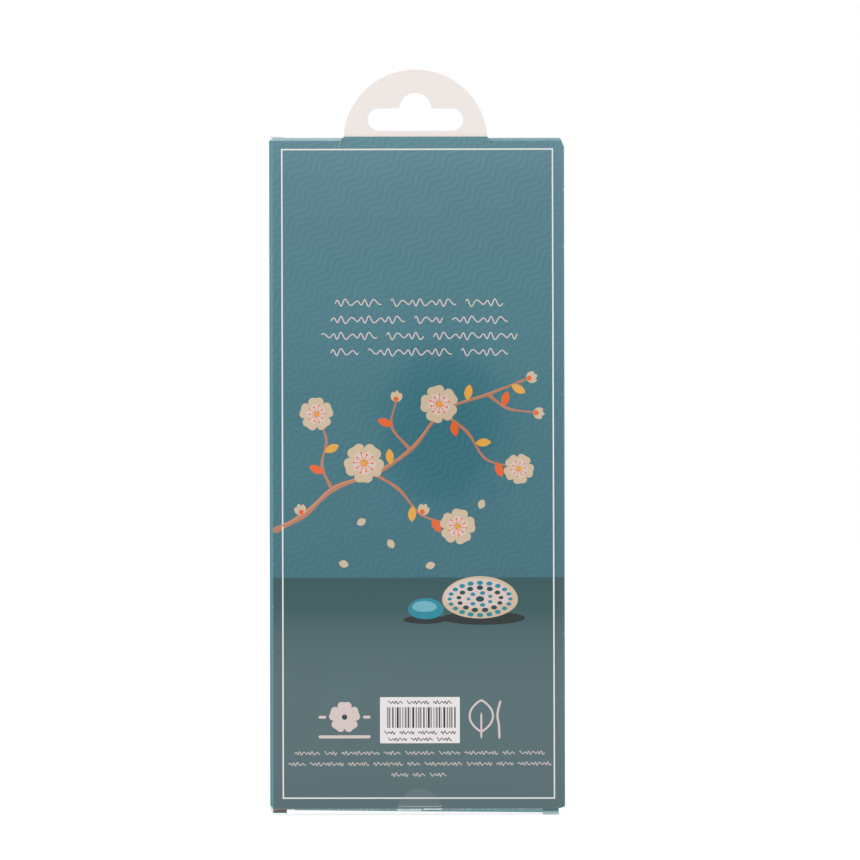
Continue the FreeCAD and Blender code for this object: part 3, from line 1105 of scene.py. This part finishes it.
def ribbon(path: np.ndarray, half_width: Union[float, np.ndarray], round_ends: bool = True) -> FlatShape:
    """A strip carried along a path.

    A point is path(s) + t * half_width(s) * left normal(s), with t at -1, 0 and 1. At a rounded end the
    half width falls off as the height of a quarter circle, down to a blunt tip.

    Args:
        path: points of the middle line.
        half_width: half the strip's width, one number or one a point.
        round_ends: True to round both ends.

    Returns:
        The strip.
    """
    blunt = 0.02
    steps = np.gradient(path, axis=0)
    tangent = steps / np.linalg.norm(steps, axis=1, keepdims=True)
    normal = np.stack([-tangent[:, 1], tangent[:, 0]], axis=1)
    half = np.broadcast_to(np.asarray(half_width, dtype=float), (len(path),)).copy()
    if round_ends:
        run = np.concatenate([[0.0], np.cumsum(np.linalg.norm(np.diff(path, axis=0), axis=1))])
        near = np.clip(np.minimum(run, run[-1] - run) / half, 0.0, 1.0)
        half = half * np.sqrt(np.clip(1 - (1 - near) ** 2, blunt, 1.0))
    sides = np.array([-1.0, 0.0, 1.0])
    points = path[:, None, :] + sides[None, :, None] * (half[:, None] * normal)[:, None, :]
    return FlatShape(points.reshape(-1, 2), grid_faces(len(path), len(sides)))


def smooth_path(marks: Sequence[Point], steps: int = 14) -> np.ndarray:
    """A smooth line through a few marks, as the cubic whose slope at each mark follows its neighbours.

    Args:
        marks: the points that it passes, in millimetres.
        steps: points between two marks.

    Returns:
        Points along the line.
    """
    given = np.array(marks, dtype=float)
    padded = np.concatenate([[2 * given[0] - given[1]], given, [2 * given[-1] - given[-2]]])
    before, start, end, after = padded[:-3], padded[1:-2], padded[2:-1], padded[3:]
    share = np.linspace(0.0, 1.0, steps, endpoint=False)[None, :, None]
    before, start, end, after = (part[:, None, :] for part in (before, start, end, after))
    curve = 0.5 * (
        2 * start
        + (end - before) * share
        + (2 * before - 5 * start + 4 * end - after) * share**2
        + (3 * start - before - 3 * end + after) * share**3
    )
    return np.concatenate([curve.reshape(-1, 2), given[-1:]])


def turned(points: np.ndarray, angle: float, place: Point) -> np.ndarray:
    """Points turned about the origin and moved.

    Args:
        points: the points.
        angle: the turn in degrees.
        place: where the origin goes.

    Returns:
        The moved points.
    """
    turn = math.radians(angle)
    spin = np.array([[math.cos(turn), math.sin(turn)], [-math.sin(turn), math.cos(turn)]])
    return points @ spin + np.array(place)


def rounded_panel(low: Point, high: Point, radius: float, corner_points: int = 7) -> FlatShape:
    """A rectangle with rounded corners.

    Args:
        low: its lower left corner.
        high: its upper right corner.
        radius: the corners' radius.
        corner_points: points on each corner's arc.

    Returns:
        The filled rectangle.
    """
    (left, bottom), (right, top) = np.array(low) + radius, np.array(high) - radius
    middles = np.array([(right, top), (left, top), (left, bottom), (right, bottom)])
    turns = np.linspace(0.0, TAU / 4, corner_points)[None, :] + (np.arange(4) * TAU / 4)[:, None]
    arcs = np.stack([np.cos(turns), np.sin(turns)], axis=-1) * radius
    return fan((middles[:, None, :] + arcs).reshape(-1, 2), rings=1)


def leaf(place: Point, length: float, width: float, turn: float) -> np.ndarray:
    """A pointed leaf's outline: half its width times the sine of the way round to the power of 1.7.

    Args:
        place: its stalk's end.
        length: its length.
        width: its width.
        turn: its direction in degrees.

    Returns:
        Points of the outline.
    """
    sharpness = 0.7
    point_count = 32
    lap = lap_of(point_count)
    along = length * (1 - np.cos(lap)) / 2
    across = -width / 2 * np.sin(lap) * np.abs(np.sin(lap)) ** sharpness
    return turned(np.stack([along, across], axis=1), turn, place)[::-1]


def leaves(marks: Sequence[Mark], length: float, width: float) -> list[FlatShape]:
    """Filled leaves of one size, one at each mark of x, z and turn."""
    return [fan(leaf((x, z), length, width, turn)) for x, z, turn in marks]


@dataclass(frozen=True)
class Oval:
    """A filled ellipse: its middle, its half sizes, how much its lower half is flattened, and its rings."""

    place: Point
    half: Point
    flat: float = 0.0
    rings: int = 3
    points: int = 60

    def shape(self) -> FlatShape:
        """The ellipse: cosine by half width, sine by half height, the sine less by flat below the middle.

        Returns:
            The filled shape.
        """
        lap = lap_of(self.points)
        rise = np.sin(lap) * np.where(np.sin(lap) < 0, 1 - self.flat, 1.0)
        return fan(np.stack([np.cos(lap), rise], axis=1) * self.half + np.array(self.place), self.rings)


@dataclass(frozen=True)
class InkPiece:
    """One colour of one printed thing, as a thin slab of ink pressed a little into the panel."""

    name: str
    ink: Ink
    layer: Layer
    shapes: Sequence[FlatShape]
    sunk: float = 0.01
    step: float = 0.0011

    def build(self, materials: dict[Ink, bpy.types.Material]) -> bpy.types.Object:
        """Makes the piece's mesh, gives it thickness and its ink, and sets it on the carton.

        Shapes that follow one another differ in level by a hair's step, so that none of them shares a face.

        Args:
            materials: the inks made so far, added to here.

        Returns:
            The finished object.
        """
        flat = FlatShape.joined(self.shapes)
        depth = PLAN.back - self.layer.value - flat.steps * self.step
        points = np.stack([flat.points[:, 0], depth, flat.points[:, 1]], axis=1) * MM
        mesh = bpy.data.meshes.new(self.name)
        mesh.from_pydata(points.tolist(), [], flat.faces)
        mesh.validate()
        mesh.update()
        made = bpy.data.objects.new(self.name, mesh)
        bpy.context.scene.collection.objects.link(made)
        slab = made.modifiers.new("slab", "SOLIDIFY")
        slab.thickness = (self.layer.value + self.sunk) * MM
        slab.offset = -1.0
        if self.ink not in materials:
            materials[self.ink] = PrintInk(self.ink).material()
        mesh.materials.append(materials[self.ink])
        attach(made, BODY)
        LOG.info("%s: %d faces in %s", self.name, len(flat.faces), self.ink.name.lower())
        return made


@dataclass(frozen=True)
class FrameLine:
    """The thin pale line round the back panel, a little out of square as it was printed and cut."""

    top_left: Point = (-48.75, 238.09)
    top_right: Point = (48.25, 238.28)
    low_right: Point = (48.6, 5.93)
    low_left: Point = (-48.58, 6.18)
    half_width: float = 0.255

    def pieces(self) -> list[InkPiece]:
        """One closed band: each corner is moved out and in along its diagonal by the half width.

        Returns:
            The band as one piece.
        """
        corners = np.array([self.low_left, self.low_right, self.top_right, self.top_left])
        outwards = np.array([(-1, -1), (1, -1), (1, 1), (-1, 1)]) * self.half_width
        band = np.concatenate([corners + outwards, corners - outwards])
        faces = [[side, (side + 1) % 4, (side + 1) % 4 + 4, side + 4] for side in range(4)]
        return [InkPiece("frame_line", Ink.FRAME, Layer.SHAPE, [FlatShape(band, faces)])]


@dataclass(frozen=True)
class SealGround:
    """The panel's own print under the seal, a hair proud of the panel and paled by the film's haze.

    The seal's inner face and the panel lie in one plane. This ground in front of both is the one that the
    clear film shows.
    """

    margin: float = 0.01
    above_edge: float = 0.03
    arc_points: int = 48

    def pieces(self) -> list[InkPiece]:
        """A disc a hair smaller than the seal's, cut off over the panel's lower edge.

        Returns:
            The disc as one piece.
        """
        reach = SEAL.radius - self.margin
        start = math.asin((PLAN.raw_edge + self.above_edge - SEAL.level) / reach)
        lap = np.linspace(start, math.pi - start, self.arc_points)
        arc = np.stack([SEAL.middle + reach * np.cos(lap), SEAL.level + reach * np.sin(lap)], axis=1)
        return [InkPiece("ground_under_seal", Ink.PANEL, Layer.GROUND, [fan(arc)])]


@dataclass(frozen=True)
class StrokeRows:
    """Rows of fine wavy strokes in groups, which stand in the place of printed rows and say nothing.

    A row is its middle, its level and the number of waves in each of its strokes.
    """

    name: str
    ink: Ink
    rows: Sequence[tuple[float, float, Sequence[int]]]
    pitch: float
    swing: float
    half_width: float
    layer: Layer = Layer.SHAPE
    gap: float = 1.0
    wave_points: int = 16
    slow_pace: float = 0.37
    least_swing: float = 0.78
    more_swing: float = 0.3
    lean: float = 0.9

    def _stroke(self, start: float, level: float, waves: int) -> FlatShape:
        """One wavy stroke.

        Its height is swing times the sine of the distance along it, and a slower sine makes the waves
        fuller and flatter in turn.

        Args:
            start: where it starts across the panel.
            level: its middle level.
            waves: how many waves it has.

        Returns:
            The stroke.
        """
        run = np.linspace(0.0, waves * self.pitch, waves * self.wave_points + 1)
        slow = np.sin(self.slow_pace * TAU * (start + run) / self.pitch + level)
        wave = np.sin(TAU * run / self.pitch + self.lean * slow)
        lift = self.swing * (self.least_swing + self.more_swing * slow) * wave
        return ribbon(np.stack([start + run, level + lift], axis=1), self.half_width)

    def pieces(self) -> list[InkPiece]:
        """All rows, each centred on its own middle.

        Returns:
            The rows as one piece.
        """
        shapes = []
        for middle, level, groups in self.rows:
            start = middle - (sum(groups) + self.gap * (len(groups) - 1)) * self.pitch / 2
            for waves in groups:
                shapes.append(self._stroke(start, level, waves))
                start += (waves + self.gap) * self.pitch
        return [InkPiece(self.name, self.ink, self.layer, shapes)]


@dataclass(frozen=True)
class Blossom:
    """A plain five-petalled blossom seen from the front, its parts as shares of its radius."""

    place: Point
    radius: float
    turn: float
    petal_count: int = 5
    petal_points: int = 40
    petal_start: float = 0.1
    petal_width: float = 0.58
    petal_waist: float = 0.42
    notch_depth: float = 0.07
    notch_width: float = 0.32
    blush_scale: float = 0.56
    thread_count: int = 10
    thread_start: float = 0.15
    thread_reaches: tuple[float, float] = (0.42, 0.5)
    thread_half: float = 0.018
    thread_points: int = 6
    bead_radius: float = 0.055
    bead_points: int = 12
    heart_radius: float = 0.17
    heart_points: int = 24

    def _disc(self, middle: np.ndarray, radius: float, points: int) -> FlatShape:
        """A small disc, its radius as a share of the blossom's."""
        lap = lap_of(points)
        return fan(np.stack([np.cos(lap), np.sin(lap)], axis=1) * self.radius * radius + middle, rings=1)

    def petals(self, scale: float = 1.0) -> list[FlatShape]:
        """The petals, each full near its tip, with a small notch there, and narrow at the heart.

        With r going from 0 at the heart to 1 at the tip, the reach is start + (1 - start) * r less the
        notch, and the width is the sine of the way round times waist + (1 - waist) * r.

        Args:
            scale: the petals' size as a share.

        Returns:
            The petals.
        """
        lap = lap_of(self.petal_points)
        reach = (1 - np.cos(lap)) / 2
        notch = self.notch_depth * np.exp(-(((lap - math.pi) / self.notch_width) ** 2))
        along = self.radius * (self.petal_start + (1 - self.petal_start) * reach * scale - notch)
        fullness = self.petal_waist + (1 - self.petal_waist) * reach
        wide = self.radius * self.petal_width * np.sin(lap) * fullness * scale
        outline = np.stack([along, -wide], axis=1)
        turns = [self.turn + 360 * number / self.petal_count for number in range(self.petal_count)]
        return [fan(turned(outline, turn, self.place)[::-1]) for turn in turns]

    def blushes(self) -> list[FlatShape]:
        """A smaller petal of a second colour inside each."""
        return self.petals(self.blush_scale)

    def threads(self) -> list[FlatShape]:
        """The fine threads round the heart, long and short in turn, each with its bead.

        Returns:
            The threads and their beads.
        """
        shapes = []
        for number in range(self.thread_count):
            angle = math.radians(self.turn + 360 * (number + 0.5) / self.thread_count)
            tip = np.array([math.cos(angle), math.sin(angle)]) * self.radius * self.thread_reaches[number % 2]
            shares = np.linspace(self.thread_start, 1.0, self.thread_points)
            line = shares[:, None] * tip + np.array(self.place)
            shapes.append(ribbon(line, self.radius * self.thread_half))
            shapes.append(self._disc(line[-1], self.bead_radius, self.bead_points))
        return shapes

    def heart(self) -> list[FlatShape]:
        """The round heart."""
        return [self._disc(np.array(self.place), self.heart_radius, self.heart_points)]


@dataclass(frozen=True)
class BlossomBranch:
    """The generic picture on the panel: a flowering branch that rises from the left over two pebbles."""

    stem: tuple[Point, ...] = (
        (-52.2, 101.5),
        (-41.0, 107.5),
        (-30.0, 117.0),
        (-15.0, 122.5),
        (-2.0, 131.5),
        (9.0, 144.5),
        (25.0, 150.5),
        (39.0, 156.0),
    )
    stem_halves: tuple[float, float] = (1.05, 0.42)
    twigs: tuple[tuple[Point, ...], ...] = (
        ((-31.0, 116.5), (-34.5, 125.0), (-33.0, 134.5), (-36.5, 142.0)),
        ((-16.0, 122.2), (-7.0, 116.5), (1.0, 107.5), (12.0, 104.0)),
        ((-3.0, 130.8), (-9.5, 139.0), (-8.0, 148.0)),
        ((8.5, 144.0), (17.5, 137.0), (24.0, 127.5), (34.0, 124.5)),
        ((25.0, 150.4), (32.0, 145.5), (41.5, 144.0)),
    )
    twig_halves: tuple[float, float] = (0.62, 0.28)
    knot: float = 0.16
    light_shift: Point = (-0.16, 0.34)
    light_halves: tuple[float, float] = (0.24, 0.1)
    light_from: int = 4
    light_to: int = -8
    blossoms: tuple[Blossom, ...] = (
        Blossom((-36.5, 143.5), 6.2, 20.0),
        Blossom((-19.5, 126.0), 7.4, 52.0),
        Blossom((14.0, 103.2), 6.6, 8.0),
        Blossom((7.5, 147.0), 7.0, 33.0),
        Blossom((36.0, 123.8), 5.6, 61.0),
    )
    buds: tuple[Mark, ...] = (
        (-8.1, 147.8, 82.0),
        (38.8, 155.9, 20.0),
        (41.2, 144.0, -8.0),
        (-41.6, 107.5, 112.0),
        (0.9, 107.6, 62.0),
    )
    bud_size: Point = (4.2, 2.4)
    bud_side_shorter: float = 0.4
    bud_side_turn: float = 26.0
    calyx_size: Point = (2.0, 1.9)
    leaf_size: Point = (5.6, 2.9)
    amber_leaves: tuple[Mark, ...] = (
        (-33.6, 130.0, 25.0),
        (-10.0, 125.5, 95.0),
        (-2.0, 110.5, -95.0),
        (20.5, 133.0, 5.0),
        (17.5, 148.5, 80.0),
        (33.5, 153.8, -30.0),
    )
    coral_leaves: tuple[Mark, ...] = (
        (-34.0, 122.5, 155.0),
        (-9.3, 139.5, 160.0),
        (5.0, 106.0, -60.0),
        (12.5, 141.0, -80.0),
        (28.0, 126.2, -70.0),
        (30.5, 146.2, 75.0),
    )
    drifting: tuple[Mark, ...] = (
        (-22.0, 104.0, 30.0),
        (-9.0, 95.5, 120.0),
        (22.0, 109.5, 70.0),
        (-28.5, 90.5, -20.0),
        (2.5, 88.8, 15.0),
    )
    drifting_size: Point = (3.6, 2.6)

    def _wood(self) -> list[FlatShape]:
        """The stem and its twigs, each narrowing to its tip, with a slight swelling at its nodes.

        Half the width runs evenly from root to tip and is multiplied with 1 + knot * cosine, once a mark.

        Returns:
            The stem and the twigs.
        """
        shapes = []
        twigs = [(twig, self.twig_halves) for twig in self.twigs]
        for marks, (root, tip) in [(self.stem, self.stem_halves)] + twigs:
            path = smooth_path(marks)
            share = np.linspace(0.0, 1.0, len(path))
            knots = 1 + self.knot * np.cos(TAU * share * (len(marks) - 1))
            shapes.append(ribbon(path, (root + (tip - root) * share) * knots))
        return shapes

    def _bark_light(self) -> list[FlatShape]:
        """The lighter line along the upper side of the stem, short of both its ends."""
        path = smooth_path(self.stem)[self.light_from : self.light_to]
        return [ribbon(path + np.array(self.light_shift), np.linspace(*self.light_halves, len(path)))]

    def _buds(self) -> list[FlatShape]:
        """Half-open buds, as three narrow petals side by side.

        Returns:
            The petals.
        """
        length, width = self.bud_size
        shapes = []
        for x, z, turn in self.buds:
            for side in (-1, 0, 1):
                reach = length - self.bud_side_shorter * abs(side)
                shapes.append(fan(leaf((x, z), reach, width, turn + self.bud_side_turn * side)))
        return shapes

    def pieces(self) -> list[InkPiece]:
        """The whole picture, one piece a colour.

        Returns:
            Its pieces.
        """
        petals, blushes, threads, hearts = [], [], [], []
        for blossom in self.blossoms:
            petals += blossom.petals()
            blushes += blossom.blushes()
            threads += blossom.threads()
            hearts += blossom.heart()
        petals += leaves(self.drifting, *self.drifting_size) + self._buds()
        return [
            InkPiece("branch_wood", Ink.BRANCH, Layer.GROUND, self._wood()),
            InkPiece("branch_light", Ink.BRANCH_LIGHT, Layer.SHAPE, self._bark_light()),
            InkPiece("amber_leaves", Ink.AMBER, Layer.SHAPE, leaves(self.amber_leaves, *self.leaf_size)),
            InkPiece("coral_leaves", Ink.CORAL, Layer.SHAPE, leaves(self.coral_leaves, *self.leaf_size)),
            InkPiece("blossom_petals", Ink.CREAM, Layer.DETAIL, petals),
            InkPiece("blossom_blush", Ink.PINK, Layer.TOP, blushes),
            InkPiece("blossom_threads", Ink.CORAL, Layer.CROWN, threads),
            InkPiece("bud_calyxes", Ink.CORAL, Layer.TOP, leaves(self.buds, *self.calyx_size)),
            InkPiece("blossom_hearts", Ink.AMBER, Layer.CROWN, hearts),
        ]


@dataclass(frozen=True)
class DotRing:
    """A ring of painted dots: its share of the stone, their number, the largest's size, and its start."""

    share: float
    count: int
    size: float
    start: float


@dataclass(frozen=True)
class Pebbles:
    """Two smooth pebbles on the dark field, each with the flat shadow under it."""

    large: Oval = Oval((22.0, 77.0), (13.6, 8.4), 0.2, 5)
    large_crown: Oval = Oval((21.2, 77.9), (12.0, 6.6), 0.4, 4)
    large_heart: Oval = Oval((22.0, 77.25), (1.5, 1.0), 0.0, 2)
    small: Oval = Oval((2.6, 73.4), (6.4, 4.2), 0.2, 4)
    small_cap: Oval = Oval((2.1, 74.3), (4.4, 2.3), 0.3, 3)
    shadows: tuple[Oval, ...] = (Oval((23.2, 70.4), (15.0, 2.4)), Oval((2.2, 69.9), (7.6, 1.5)))
    teal_rings: tuple[DotRing, ...] = (DotRing(0.8, 20, 0.92, 0.0), DotRing(0.3, 7, 0.8, 0.5))
    dark_rings: tuple[DotRing, ...] = (DotRing(0.56, 13, 0.95, 0.25),)
    ring_height: float = 0.86
    ring_lift: float = 0.03
    least_dot: float = 0.72
    dot_half: Point = (1.2, 0.85)

    def _dots(self, rings: Sequence[DotRing]) -> list[FlatShape]:
        """Rings of painted dots on the large pebble, largest above and below its middle.

        Args:
            rings: the rings.

        Returns:
            The dots.
        """
        (x, z), (half_x, half_z) = self.large.place, self.large.half
        shapes = []
        for ring in rings:
            for number in range(ring.count):
                turn = TAU * (number + ring.start) / ring.count
                rise = ring.share * math.sin(turn) * self.ring_height + self.ring_lift
                middle = (x + half_x * ring.share * math.cos(turn), z + half_z * rise)
                dot = ring.size * (self.least_dot + (1 - self.least_dot) * abs(math.sin(turn)))
                half = (dot * self.dot_half[0], dot * self.dot_half[1])
                shapes.append(Oval(middle, half, rings=1).shape())
        return shapes

    def pieces(self) -> list[InkPiece]:
        """Shadows, stones, the paler top of each and the large one's painted rings of dots.

        Returns:
            Their pieces.
        """
        shadows = [shadow.shape() for shadow in self.shadows]
        return [
            InkPiece("pebble_shadows", Ink.SHADOW, Layer.GROUND, shadows),
            InkPiece("large_pebble", Ink.CREAM, Layer.SHAPE, [self.large.shape()]),
            InkPiece("large_pebble_crown", Ink.PINK, Layer.DETAIL, [self.large_crown.shape()]),
            InkPiece("pebble_dots_teal", Ink.TEAL, Layer.TOP, self._dots(self.teal_rings)),
            InkPiece("pebble_dots_dark", Ink.DEEP_TEAL, Layer.TOP, self._dots(self.dark_rings)),
            InkPiece("pebble_heart", Ink.DEEP_TEAL, Layer.TOP, [self.large_heart.shape()]),
            InkPiece("small_pebble", Ink.TEAL, Layer.SHAPE, [self.small.shape()]),
            InkPiece("small_pebble_cap", Ink.PALE_TEAL, Layer.DETAIL, [self.small_cap.shape()]),
        ]


@dataclass(frozen=True)
class PlainLabel:
    """The white panel with plain upright bars, which say nothing."""

    low: Point = (-13.9, 25.7)
    high: Point = (14.7, 42.2)
    corner_radius: float = 0.3
    bars_low: Point = (-11.4, 31.2)
    bars_high: Point = (13.2, 38.6)
    bar_radius: float = 0.02
    count: int = 27
    width_step: float = 0.9
    gap_step: float = 0.5
    rows: StrokeRows = StrokeRows(
        "label_rows",
        Ink.BAR_DARK,
        ((0.4, 40.3, (4, 6, 5)), (0.4, 29.5, (3, 4, 5, 4)), (0.4, 27.1, (5, 6, 4))),
        pitch=1.35,
        swing=0.56,
        half_width=0.14,
    )

    def _bars(self, first: int) -> list[FlatShape]:
        """Every second bar.

        Widths and gaps run through three and four steps in turn and are then scaled to fill the place, so
        that no row of them means anything.

        Args:
            first: number of the first bar, 0 or 1.

        Returns:
            The bars.
        """
        numbers = np.arange(self.count)
        widths = 1.0 + numbers * 2 % 3 * self.width_step
        gaps = 1.0 + numbers * 3 % 4 * self.gap_step
        edges = np.cumsum(np.stack([widths, gaps], axis=1).ravel())[:-1]
        (left, bottom), (right, top) = self.bars_low, self.bars_high
        scale = (right - left) / edges[-1]
        ends = left + edges[::2] * scale
        starts = ends - widths * scale
        return [
            rounded_panel((start, bottom), (end, top), self.bar_radius)
            for start, end in zip(starts[first::2].tolist(), ends[first::2].tolist())
        ]

    def pieces(self) -> list[InkPiece]:
        """The white ground, two tones of bars and the fine rows above and below them.

        Returns:
            Their pieces.
        """
        ground = rounded_panel(self.low, self.high, self.corner_radius)
        return [
            InkPiece("label_ground", Ink.LABEL, Layer.GROUND, [ground]),
            InkPiece("label_dark_bars", Ink.BAR_DARK, Layer.SHAPE, self._bars(0)),
            InkPiece("label_grey_bars", Ink.BAR_GREY, Layer.SHAPE, self._bars(1)),
            *self.rows.pieces(),
        ]


@dataclass(frozen=True)
class PlainDevices:
    """Two plain printed devices beside the label: a blossom over a bar, and a leaf beside its stalk."""

    bloom: Blossom = Blossom((-26.6, 35.1), 5.7, 18.0)
    bars: tuple[tuple[Point, Point, float], ...] = (
        ((-35.9, 27.5), (-17.3, 28.6), 0.5),
        ((-35.9, 34.6), (-33.2, 35.6), 0.45),
        ((-20.0, 34.6), (-17.3, 35.6), 0.45),
    )
    leaf_place: Point = (22.4, 29.8)
    leaf_size: Point = (11.2, 8.4)
    leaf_turn: float = 90.0
    leaf_half: float = 0.36
    vein: tuple[Point, Point] = ((22.4, 27.2), (22.4, 36.6))
    vein_half: float = 0.34
    vein_points: int = 12
    stalk: tuple[Point, ...] = ((28.9, 27.2), (28.7, 32.0), (28.2, 36.0), (29.3, 40.9))
    stalk_half: float = 0.4

    def pieces(self) -> list[InkPiece]:
        """The left device, filled, and the right one, drawn in line.

        Returns:
            Their pieces.
        """
        bars = [rounded_panel(low, high, radius) for low, high, radius in self.bars]
        lap = leaf(self.leaf_place, *self.leaf_size, self.leaf_turn)
        drawn = [
            ribbon(np.concatenate([lap[-1:], lap, lap[:1]]), self.leaf_half, round_ends=False),
            ribbon(np.linspace(*self.vein, self.vein_points), self.vein_half),
            ribbon(smooth_path(self.stalk), self.stalk_half),
        ]
        return [
            InkPiece("bloom_device", Ink.PALE, Layer.SHAPE, self.bloom.petals() + bars),
            InkPiece("bloom_device_heart", Ink.DEEP_TEAL, Layer.DETAIL, self.bloom.heart()),
            InkPiece("leaf_device", Ink.PALE, Layer.SHAPE, drawn),
        ]


HEADING_ROWS = StrokeRows(
    "heading_rows",
    Ink.PALE,
    (
        (0.3, 183.3, (5, 7, 4)),
        (0.4, 177.2, (8, 3, 6)),
        (0.4, 171.4, (6, 4, 9)),
        (0.4, 165.6, (3, 9, 5)),
    ),
    pitch=3.35,
    swing=1.25,
    half_width=0.2,
)
SMALL_ROWS = StrokeRows(
    "small_rows",
    Ink.SMALL_PALE,
    (
        (0.3, 22.2, (6, 3, 9, 4, 7, 5, 8, 3, 6)),
        (0.4, 18.3, (4, 8, 5, 7, 3, 9, 6, 4, 8)),
        (0.0, 14.4, (4, 3, 4)),
    ),
    pitch=1.52,
    swing=0.6,
    half_width=0.155,
)


@dataclass(frozen=True)
class SoftLight:
    """One soft light: where it hangs, its two sizes and its watts, aimed at a level of the carton."""

    name: str
    place: Mark
    size: Point
    watts: float
    aim_level: float
    aim_share: float = 0.2

    def build(self) -> None:
        """Makes the light, aimed a share of its own way out from the carton's middle."""
        lamp = bpy.data.lights.new(self.name, "AREA")
        lamp.shape = "RECTANGLE"
        lamp.size, lamp.size_y = (side * MM for side in self.size)
        lamp.energy = self.watts
        made = bpy.data.objects.new(self.name, lamp)
        made.location = Vector(self.place) * MM
        aim = Vector((self.place[0] * self.aim_share, 0.0, self.aim_level)) * MM - made.location
        made.rotation_mode = "QUATERNION"
        made.rotation_quaternion = aim.to_track_quat("-Z", "Y")
        bpy.context.scene.collection.objects.link(made)


@dataclass(frozen=True)
class StageCard:
    """A flat stage surface: its corners, its tone and its own glow."""

    name: str
    corners: np.ndarray
    tone: float
    glow: float = 0.0
    only_in_gloss: bool = True
    roughness: float = 0.9
    fleck: Grain = Grain(40.0)
    fleck_depth: float = 0.02

    def build(self) -> None:
        """Makes the card with a faint fleck in its tone."""
        mesh = bpy.data.meshes.new(self.name)
        mesh.from_pydata((self.corners * MM).tolist(), [], [list(range(len(self.corners)))])
        made = bpy.data.objects.new(self.name, mesh)
        bpy.context.scene.collection.objects.link(made)
        sheet = NodeSheet(self.name)
        fleck = (self.fleck.on(sheet.place()) - 0.5) * self.fleck_depth + self.tone
        shader = sheet.principled(
            {
                "Base Color": sheet.grey(fleck),
                "Roughness": self.roughness,
                "Specular IOR Level": 0.0,
                "Emission Color": (1.0, 1.0, 1.0, 1.0),
                "Emission Strength": self.glow,
            }
        )
        mesh.materials.append(sheet.finish(shader))
        if self.only_in_gloss:
            made.visible_camera = False
            made.visible_diffuse = False
            made.visible_shadow = False


@dataclass(frozen=True)
class Studio:
    """Pale glowing floor, white surroundings, a soft light, and the dark gear that only the film mirrors."""

    surroundings: float = 1.0
    key: SoftLight = SoftLight("key_light", (-500.0, -900.0, 1300.0), (800.0, 800.0), 9.0, 120.0)
    floor_size: float = 24000.0
    floor_tone: float = 0.3
    floor_glow: float = 0.76
    gear_place: Mark = (311.0, -5000.0, 142.0)
    gear_half: Point = (40.0, 56.0)
    gear_sides: int = 40
    gear_tone: float = 0.02

    def _world(self) -> None:
        """Even white all round."""
        world = bpy.data.worlds.new("studio")
        bpy.context.scene.world = world
        world.use_nodes = True
        background = world.node_tree.nodes["Background"]
        background.inputs["Color"].default_value = (1.0, 1.0, 1.0, 1.0)
        background.inputs["Strength"].default_value = self.surroundings

    def _gear(self) -> np.ndarray:
        """The gear's outline: an upright ellipse, drawn with flat sides that touch it.

        Returns:
            Its corners.
        """
        lap = lap_of(self.gear_sides) + TAU / (2 * self.gear_sides)
        reach = 1 / math.cos(TAU / (2 * self.gear_sides))
        across = self.gear_half[0] * reach * np.cos(lap)
        up = self.gear_half[1] * reach * np.sin(lap)
        return np.stack([across, np.zeros(self.gear_sides), up], axis=1) + np.array(self.gear_place)

    def build(self) -> None:
        """Sets it all up."""
        self._world()
        self.key.build()
        half = self.floor_size / 2
        floor = np.array([(-half, -half, 0), (half, -half, 0), (half, half, 0), (-half, half, 0)])
        StageCard("floor", floor, self.floor_tone, self.floor_glow, False).build()
        StageCard("dark_gear", self._gear(), self.gear_tone).build()


@dataclass(frozen=True)
class Viewpoint:
    """The photo's viewpoint: far off, level, a little to the left of square on, with its slight roll."""

    middle: Point = (4.19, 137.75)
    distance: float = 5000.0
    view_width: float = 307.7
    azimuth: float = -3.4
    roll: float = -0.1
    sensor: float = 36.0
    nearest: float = 0.1
    farthest: float = 100.0

    def build(self) -> None:
        """Makes the scene's camera, aimed at the middle of the picture on the back panel."""
        lens = bpy.data.cameras.new("camera")
        lens.sensor_width = self.sensor
        lens.lens = self.sensor * self.distance / self.view_width
        lens.clip_start = self.nearest
        lens.clip_end = self.farthest
        camera = bpy.data.objects.new("camera", lens)
        bpy.context.scene.collection.objects.link(camera)
        turn = math.radians(self.azimuth)
        away = Vector((math.sin(turn), -math.cos(turn), 0.0))
        aim = Vector((self.middle[0], PLAN.back, self.middle[1]))
        camera.location = (aim + away * self.distance) * MM
        level = (-away).to_track_quat("-Z", "Y").to_matrix()
        camera.rotation_euler = (level @ Matrix.Rotation(math.radians(self.roll), 3, "Z")).to_euler()
        bpy.context.scene.camera = camera


def dress(node: str, material: bpy.types.Material) -> None:
    """Gives a CAD node its material.

    Args:
        node: the node's name.
        material: the material.
    """
    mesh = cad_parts[node].data
    mesh.materials.clear()
    mesh.materials.append(material)
    LOG.info("%s: dressed with %s", node, material.name)


def main() -> None:
    """Dresses the carton and its seal, prints the back panel, and sets the studio and the camera."""
    logging.basicConfig(level=logging.INFO, format="%(message)s")
    board = PrintedBoard().material()
    dress("carton", board)
    dress("round_seal", ClearFilm().material())
    inks: dict[Ink, bpy.types.Material] = {Ink.PANEL: board}
    prints = (
        SealGround(),
        FrameLine(),
        BlossomBranch(),
        Pebbles(),
        HEADING_ROWS,
        PlainLabel(),
        PlainDevices(),
        SMALL_ROWS,
    )
    for thing in prints:
        for piece in thing.pieces():
            piece.build(inks)
    Studio().build()
    Viewpoint().build()
    bpy.context.scene.view_settings.view_transform = "Standard"


if __name__ == "__main__":
    main()
